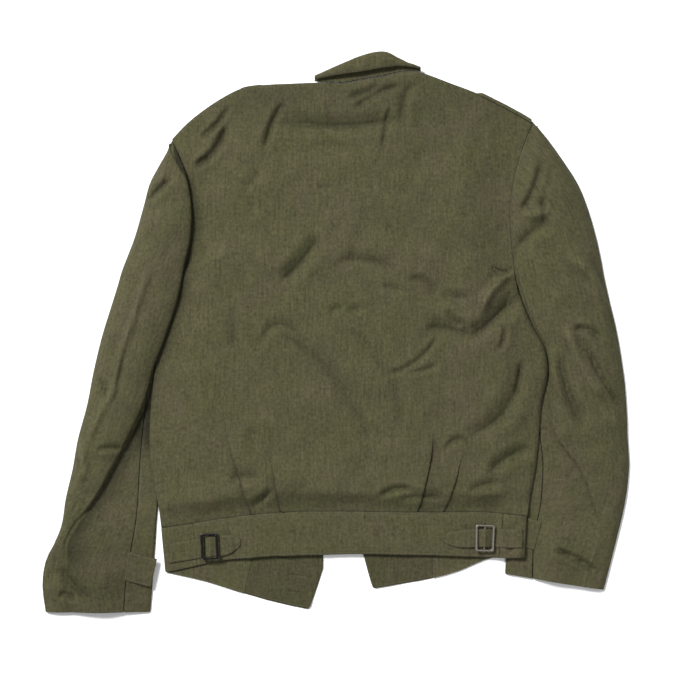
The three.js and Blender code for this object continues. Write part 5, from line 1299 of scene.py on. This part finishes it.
def bronze(name, dark, bright, wear):
    """Painted metal, dark in its corners and rubbed bright along its edges."""
    g = Graph(name)
    place = g.object_place()
    edge = g.ramp(Wire(g, g.node("ShaderNodeNewGeometry").outputs["Pointiness"]), 0.5, 0.56)
    blotch = g.noise(place, 420.0, 4.0, 0.65)
    rubbed = g.ramp(edge * 0.6 + blotch, 0.62 - wear, 0.95 - wear)
    colour = g.blend(rubbed, rgb(dark), rgb(bright))
    rough = g.ramp(blotch, 0.2, 0.9) * 0.3 + 0.32
    bump = g.wire("ShaderNodeBump", None, {"Strength": 0.3, "Distance": 0.0002,
                                           "Height": g.noise(place, 1500.0, 3.0, 0.6)})
    shader = g.node("ShaderNodeBsdfPrincipled", None, {
        "Base Color": colour, "Metallic": 0.85, "Roughness": rough, "Normal": bump})
    return g.finish(shader)


def yarn(name, colour):
    """Sewing thread, a little uneven in tone."""
    g = Graph(name)
    blotch = g.noise(g.object_place(), 900.0, 2.0, 0.6)
    tint = g.blend(blotch, rgb(colour, 0.7), rgb(colour, 1.25))
    bump = g.wire("ShaderNodeBump", None, {"Strength": 0.4, "Distance": 0.0002, "Height": blotch})
    shader = g.node("ShaderNodeBsdfPrincipled", None, {
        "Base Color": tint, "Roughness": 0.7, "Normal": bump, "Specular IOR Level": 0.3})
    return g.finish(shader)


# ---- What a user can change ----
class ClothSettings(bpy.types.PropertyGroup):
    olive: FloatVectorProperty(name="Olive", description="Main colour of the wool", subtype="COLOR",
                               size=3, min=0, max=1, default=(0.0545, 0.0504, 0.0242))
    brown: FloatVectorProperty(name="Brown", description="Browner tone of the wool",
                               subtype="COLOR", size=3, min=0, max=1,
                               default=(0.0575, 0.0496, 0.0288))
    green: FloatVectorProperty(name="Green", description="Greener tone of the wool",
                               subtype="COLOR", size=3, min=0, max=1,
                               default=(0.0500, 0.0502, 0.0196))
    fleck: FloatVectorProperty(name="Fleck", description="Pale fibres in the yarn", subtype="COLOR",
                               size=3, min=0, max=1, default=(0.135, 0.130, 0.088))
    # How dark the painted-shade copy of the serge is, on the pieces that lie under others.
    shade: FloatProperty(name="Wrong side", subtype="FACTOR", min=0, max=1, default=0.82,
                         description="Tone of the cloth's inside against its outside")
    # How strong the painted shade and painted highlight of the creases, folds and rolled edges are.
    painted_shade_strength: FloatProperty(name="Crease tone", description="How dark the worn creases are",
                               subtype="FACTOR", min=0, max=0.6, default=0.26)
    heather: FloatProperty(name="Heather", description="How much the yarns differ",
                           subtype="FACTOR", min=0, max=6, default=1.0)
    twill_pitch: FloatProperty(name="Twill pitch", description="From one twill line to the next",
                               unit="LENGTH", min=0.0004, max=0.004, default=0.0017)


class ThreadSettings(bpy.types.PropertyGroup):
    stitch: FloatProperty(name="Stitch", description="Length of one stitch with its gap",
                          unit="LENGTH", min=0.001, max=0.01, default=0.0029)
    thread: FloatProperty(name="Thread", description="Thickness of the thread", unit="LENGTH",
                          min=0.0002, max=0.002, default=0.00055)
    colour: FloatVectorProperty(name="Thread colour", description="Colour of the sewing thread",
                                subtype="COLOR", size=3, min=0, max=1, default=(0.1, 0.095, 0.05))


class MetalSettings(bpy.types.PropertyGroup):
    dark: FloatVectorProperty(name="Dark bronze", description="Finish left in the corners",
                              subtype="COLOR", size=3, min=0, max=1, default=(0.010, 0.009, 0.007))
    bright: FloatVectorProperty(name="Rubbed bronze", description="Metal where the finish is gone",
                                subtype="COLOR", size=3, min=0, max=1, default=(0.19, 0.17, 0.148))
    wear: FloatProperty(name="Wear", description="How far the right buckle's finish is gone",
                        subtype="FACTOR", min=0, max=1, default=0.36)


class StageSettings(bpy.types.PropertyGroup):
    frame_width: FloatProperty(name="Frame width", description="Width that the camera takes in",
                               unit="LENGTH", min=0.2, max=3, default=0.91)
    lens: FloatProperty(name="Lens", description="Focal length in mm on a 36 mm sensor", min=20,
                        max=200, default=85)
    sky: FloatProperty(name="Sky", description="Strength of the even light", min=0, max=5,
                       default=0.36)
    lamp: FloatProperty(name="Lamp", description="Power of the large lamp in watts", min=0,
                        max=2000, default=570)


class JacketSettings(bpy.types.PropertyGroup):
    cloth: PointerProperty(type=ClothSettings)
    thread: PointerProperty(type=ThreadSettings)
    metal: PointerProperty(type=MetalSettings)
    stage: PointerProperty(type=StageSettings)


# ---- Sewing ----
BAND_ROW_HIGH, BAND_ROW_LOW, STRAP_ROW = 3.6, 2.6, 2.2    # rows of stitches, from the edge
THREAD_OUT = 0.12           # how far the thread's middle is above the cloth
STITCH_FILL = 0.74          # shortest stitch against the pitch
STITCH_UNEVEN = 0.16        # how much longer the longest is


def seam_path(name, side, distance, trim=0.0):
    """A path on a piece of cloth, at one distance in mm from one of its sides."""
    p, n, away = RAILS[name]
    p, d = p + n * THREAD_OUT, away[side]
    along = [away["left"], away["right"]]
    if side in ("left", "right"):
        p, d, along = p.transpose(1, 0, 2), d.T, [away["low"].T, away["high"].T]
    if side in ("right", "high"):
        p, d, along = p[::-1], d[::-1], [a[::-1] for a in along]
    line = []
    for c in range(p.shape[1]):
        near = min(np.interp(distance, d[:, c], a[:, c]) for a in along)
        if near >= trim:
            line.append([np.interp(distance, d[:, c], p[:, c, k]) for k in range(3)])
    return (np.array(line) + SHIFT) * MM


def ring_path(name, distance):
    return [seam_path(name, s, distance, trim=distance) for s in ("low", "right", "high", "left")]


def stitch_tree():
    """Geometry nodes that lay one stitch after another along every curve."""
    tree = bpy.data.node_groups.new("stitches_along_paths", "GeometryNodeTree")
    for name, kind in (("Geometry", "Geometry"), ("Pitch", "Float"), ("Thread", "Float"),
                       ("Unevenness", "Float"), ("Seed", "Int"), ("Finish", "Material")):
        tree.interface.new_socket(name, in_out="INPUT", socket_type="NodeSocket" + kind)
    tree.interface.new_socket("Geometry", in_out="OUTPUT", socket_type="NodeSocketGeometry")
    g = Graph("stitches", tree)
    given = g.node("NodeGroupInput").outputs
    paths, pitch, thread, uneven, seed, finish = (Wire(g, given[i]) for i in range(6))
    points = g.node("GeometryNodeCurveToPoints", {"mode": "LENGTH"},
                    {"Curve": paths, "Length": pitch}).outputs
    bead = g.wire("GeometryNodeMeshUVSphere", None, {"Segments": 6, "Rings": 5, "Radius": 0.5})
    chance = g.wire("FunctionNodeRandomValue", {"data_type": "FLOAT"}, {"Seed": seed}, 1)
    length = chance.math("MULTIPLY_ADD", uneven, STITCH_FILL) * pitch
    size = g.wire("ShaderNodeCombineXYZ", None, {"X": thread, "Y": thread, "Z": length})
    laid = g.wire("GeometryNodeInstanceOnPoints", None, {
        "Points": Wire(g, points["Points"]), "Instance": bead,
        "Rotation": Wire(g, points["Rotation"]), "Scale": size})
    real = g.wire("GeometryNodeRealizeInstances", None, {0: laid})
    done = g.wire("GeometryNodeSetMaterial", None, {"Geometry": real, "Material": finish})
    g.node("NodeGroupOutput", None, {"Geometry": done})
    return tree


def sew(name, paths, pitch, thread, finish, seed):
    """Stitches along the paths, as one plain mesh."""
    curve = bpy.data.curves.new(name + "_paths", "CURVE")
    curve.dimensions = "3D"
    for path in paths:
        spline = curve.splines.new("POLY")
        spline.points.add(len(path) - 1)
        spline.points.foreach_set("co", np.column_stack([path, np.ones(len(path))]).ravel())
    guide = bpy.data.objects.new(name + "_paths", curve)
    bpy.context.scene.collection.objects.link(guide)
    tree = bpy.data.node_groups.get("stitches_along_paths") or stitch_tree()
    sockets = {s.name: s.identifier for s in tree.interface.items_tree if s.in_out == "INPUT"}
    modifier = guide.modifiers.new("Stitches", "NODES")
    modifier.node_group = tree
    for key, value in (("Pitch", pitch), ("Thread", thread), ("Unevenness", STITCH_UNEVEN),
                       ("Seed", seed), ("Finish", finish)):
        modifier[sockets[key]] = value
    bpy.context.view_layer.update()
    solid = guide.evaluated_get(bpy.context.evaluated_depsgraph_get())
    mesh = bpy.data.meshes.new_from_object(solid)
    mesh.name = name
    guide.modifiers.clear()
    bpy.data.objects.remove(guide)
    obj = bpy.data.objects.new(name, mesh)
    obj.data.shade_smooth()
    bpy.context.scene.collection.objects.link(obj)
    if not len(mesh.vertices):
        raise RuntimeError("the stitches came out empty")
    return obj


LEAST_WEAR = -0.2         # the left buckle keeps nearly all of its finish
# The painted-shade copy of the serge keeps this share of the edge wear.
SHADE_SIDE_WORN = 0.5     # how rubbed the edges of the cloth's inside are, against its outside


def finish_named(name):
    """The finish of a slot, made the first time that it is asked for."""
    made = "made_" + name
    if made in bpy.data.materials:
        return bpy.data.materials[made]
    s = bpy.context.scene.field_jacket
    if name == "wool_serge":
        return serge(made, s.cloth)
    # The shade copy is the serge darkened as painted shade, for the pieces that lie under others.
    if name == "wool_serge_shade":
        return serge(made, s.cloth, tone=s.cloth.shade, worn_edge=SHADE_SIDE_WORN)
    if name == "dark_bronze":
        return bronze(made, s.metal.dark, s.metal.bright, LEAST_WEAR)
    if name == "worn_bronze":
        return bronze(made, s.metal.dark, s.metal.bright, s.metal.wear)
    return yarn(made, s.thread.colour)


def dress(obj, node, finish):
    """The piece takes its CAD node's place, finish and body."""
    obj.data.materials.clear()
    obj.data.materials.append(finish_named(finish))
    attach(obj, "root")
    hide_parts(node)
    return obj


# ---- Floor, light and camera ----
MIDDLE = (18, -20.5, 0)      # what the camera looks at, in mm
FLOOR_HALF = 6.0
FLOOR_GREY = (0.93, 0.93, 0.93, 1)
SKY_COLOUR = (0.98, 0.99, 1.0, 1)
SENSOR = 36                  # width of the camera's sensor, in mm
CLIP_END = 100
# Name, place, size and share of the lamp's power.
LAMPS = (("key_lamp", (-2.6, 2.9, 4.4), 1.9, 1.0), ("fill_lamp", (1.5, -0.6, 2.4), 2.0, 0.03))


# ---- Operators: one for each piece or group of like pieces ----
class JACKET_OT_stage(bpy.types.Operator):
    """Lays a pale floor, sets soft light and looks straight down"""
    bl_idname = "jacket.stage"
    bl_label = "Floor, light and camera"

    def execute(self, context):
        scene, s = context.scene, context.scene.field_jacket.stage
        centre = (np.array(MIDDLE) + SHIFT) * MM
        floor = make_stage_floor()
        world = bpy.data.worlds.new("even_sky")
        world.use_nodes = True
        back = world.node_tree.nodes["Background"]
        back.inputs["Color"].default_value = SKY_COLOUR
        back.inputs["Strength"].default_value = s.sky
        scene.world = world
        for name, place, size, share in LAMPS:
            data = bpy.data.lights.new(name, "AREA")
            data.shape = "DISK"
            data.size = size
            data.energy = s.lamp * share
            lamp = bpy.data.objects.new(name, data)
            scene.collection.objects.link(lamp)
            lamp.location = place
            lamp.rotation_euler = lamp.location.to_track_quat("Z", "Y").to_euler()
        data = bpy.data.cameras.new("overhead_camera")
        data.lens = s.lens
        data.sensor_width = SENSOR
        data.clip_end = CLIP_END
        camera = bpy.data.objects.new("overhead_camera", data)
        scene.collection.objects.link(camera)
        height = s.frame_width * s.lens / data.sensor_width
        camera.location = (centre[0], centre[1], height + 10 * MM)
        scene.camera = camera
        scene.view_settings.view_transform = "Standard"
        return {"FINISHED"}


def make_stage_floor():
    mesh = bpy.data.meshes.new("pale_floor")
    corners = ((-1, -1), (1, -1), (1, 1), (-1, 1))
    mesh.from_pydata([(x * FLOOR_HALF, y * FLOOR_HALF, 0) for x, y in corners], [], [(0, 1, 2, 3)])
    floor = bpy.data.objects.new("pale_floor", mesh)
    bpy.context.scene.collection.objects.link(floor)
    g = Graph("pale_floor")
    shader = g.node("ShaderNodeBsdfPrincipled", None, {
        "Base Color": FLOOR_GREY, "Roughness": 0.9, "Specular IOR Level": 0.1})
    mesh.materials.append(g.finish(shader))
    return floor


class JACKET_OT_fronts(bpy.types.Operator):
    """Makes the two fronts that lie flat under the back"""
    bl_idname = "jacket.fronts"
    bl_label = "Fronts"

    def execute(self, context):
        for side, word in SIDES:
            front = front_panel(side, f"front_{word}_cloth")
            dress(front, f"front_{word}", "wool_serge_shade")
        return {"FINISHED"}


class JACKET_OT_back(bpy.types.Operator):
    """Makes the back with its creases and its four pleats"""
    bl_idname = "jacket.back"
    bl_label = "Back panel"

    def execute(self, context):
        dress(back_panel(), "back_panel", "wool_serge")
        return {"FINISHED"}


class JACKET_OT_sleeves(bpy.types.Operator):
    """Makes the topsleeve and undersleeve of each side"""
    bl_idname = "jacket.sleeves"
    bl_label = "Sleeves"

    def execute(self, context):
        for side, word in SIDES:
            for part, node in (("top", "topsleeve_"), ("under", "undersleeve_")):
                name = node + word + "_cloth"
                dress(sleeve_piece(side, part, name), node + word, "wool_serge")
        return {"FINISHED"}


class JACKET_OT_collar(bpy.types.Operator):
    """Makes the folded collar"""
    bl_idname = "jacket.collar"
    bl_label = "Collar"

    def execute(self, context):
        dress(collar_piece(), "collar", "wool_serge")
        return {"FINISHED"}


class JACKET_OT_waistband(bpy.types.Operator):
    """Makes the five lengths of the waistband"""
    bl_idname = "jacket.waistband"
    bl_label = "Waistband"

    def execute(self, context):
        dress(waistband_back(), "waistband_back", "wool_serge")
        for side, word in SIDES:
            dress(band_side(side, f"waistband_side_{word}_cloth"), f"waistband_side_{word}",
                  "wool_serge")
            dress(band_front(side, f"waistband_front_{word}_cloth"), f"waistband_front_{word}",
                  "wool_serge_shade")
        return {"FINISHED"}


class JACKET_OT_adjusters(bpy.types.Operator):
    """Makes the waist straps and the tabs under their buckles"""
    bl_idname = "jacket.adjusters"
    bl_label = "Adjuster straps and tabs"

    def execute(self, context):
        for side, word in SIDES:
            tab = dress(buckle_tab(side, f"buckle_tab_{word}_cloth"), f"buckle_tab_{word}",
                        "wool_serge_shade")
            dress(adjuster_strap(side, f"adjuster_strap_{word}_cloth"), f"adjuster_strap_{word}",
                  "wool_serge")
        return {"FINISHED"}


class JACKET_OT_buckles(bpy.types.Operator):
    """Makes the two slide buckles"""
    bl_idname = "jacket.buckles"
    bl_label = "Buckles"

    def execute(self, context):
        dress(buckle(-1, "buckle_left_slide"), "buckle_left", "dark_bronze")
        dress(buckle(1, "buckle_right_slide"), "buckle_right", "worn_bronze")
        return {"FINISHED"}


class JACKET_OT_cuff_tabs(bpy.types.Operator):
    """Makes the tab on each cuff"""
    bl_idname = "jacket.cuff_tabs"
    bl_label = "Cuff tabs"

    def execute(self, context):
        for side, word in SIDES:
            dress(cuff_tab(side, f"cuff_tab_{word}_cloth"), f"cuff_tab_{word}", "wool_serge")
        return {"FINISHED"}


class JACKET_OT_shoulder_straps(bpy.types.Operator):
    """Makes the shoulder straps, which show along the shoulders"""
    bl_idname = "jacket.shoulder_straps"
    bl_label = "Shoulder straps"

    def execute(self, context):
        dress(shoulder_strap_left(), "shoulder_strap_left", "wool_serge")
        dress(shoulder_strap_right(), "shoulder_strap_right", "wool_serge")
        return {"FINISHED"}


class JACKET_OT_sewing(bpy.types.Operator):
    """Sews the rows of stitches along the band, straps and tabs"""
    bl_idname = "jacket.sewing"
    bl_label = "Sewing"

    def execute(self, context):
        s = context.scene.field_jacket.thread
        band = "waistband_back_cloth"
        paths = [seam_path(band, "high", BAND_ROW_HIGH), seam_path(band, "low", BAND_ROW_LOW)]
        for _, word in SIDES:
            for piece in (f"adjuster_strap_{word}_cloth", f"cuff_tab_{word}_cloth"):
                paths += ring_path(piece, STRAP_ROW)
            paths.append(seam_path(f"waistband_front_{word}_cloth", "low", BAND_ROW_LOW))
        obj = sew("serge_stitching", paths, s.stitch, s.thread, finish_named("sewing_thread"), 7)
        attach(obj, "root")
        return {"FINISHED"}


STEPS = ("stage", "fronts", "back", "sleeves", "collar", "waistband", "adjusters", "buckles",
         "cuff_tabs", "shoulder_straps", "sewing")


class JACKET_PT_panel(bpy.types.Panel):
    """Lists the jacket's pieces and what can be changed"""
    bl_idname = "JACKET_PT_panel"
    bl_label = "Wool field jacket"
    bl_space_type = "VIEW_3D"
    bl_region_type = "UI"
    bl_category = "Jacket"

    def draw(self, context):
        settings = context.scene.field_jacket
        for step in STEPS:
            self.layout.operator("jacket." + step)
        for group in (settings.cloth, settings.thread, settings.metal, settings.stage):
            box = self.layout.box()
            for name in group.bl_rna.properties.keys():
                if name not in ("rna_type", "name"):
                    box.prop(group, name)


CLASSES = (ClothSettings, ThreadSettings, MetalSettings, StageSettings, JacketSettings,
           JACKET_OT_stage, JACKET_OT_fronts, JACKET_OT_back, JACKET_OT_sleeves, JACKET_OT_collar,
           JACKET_OT_waistband, JACKET_OT_adjusters, JACKET_OT_buckles, JACKET_OT_cuff_tabs,
           JACKET_OT_shoulder_straps, JACKET_OT_sewing, JACKET_PT_panel)


def register():
    for cls in CLASSES:
        bpy.utils.register_class(cls)
    bpy.types.Scene.field_jacket = PointerProperty(type=JacketSettings)


def unregister():
    del bpy.types.Scene.field_jacket
    for cls in reversed(CLASSES):
        bpy.utils.unregister_class(cls)


def main():
    register()
    for step in STEPS:
        getattr(bpy.ops.jacket, step)()


if __name__ == "__main__":
    main()
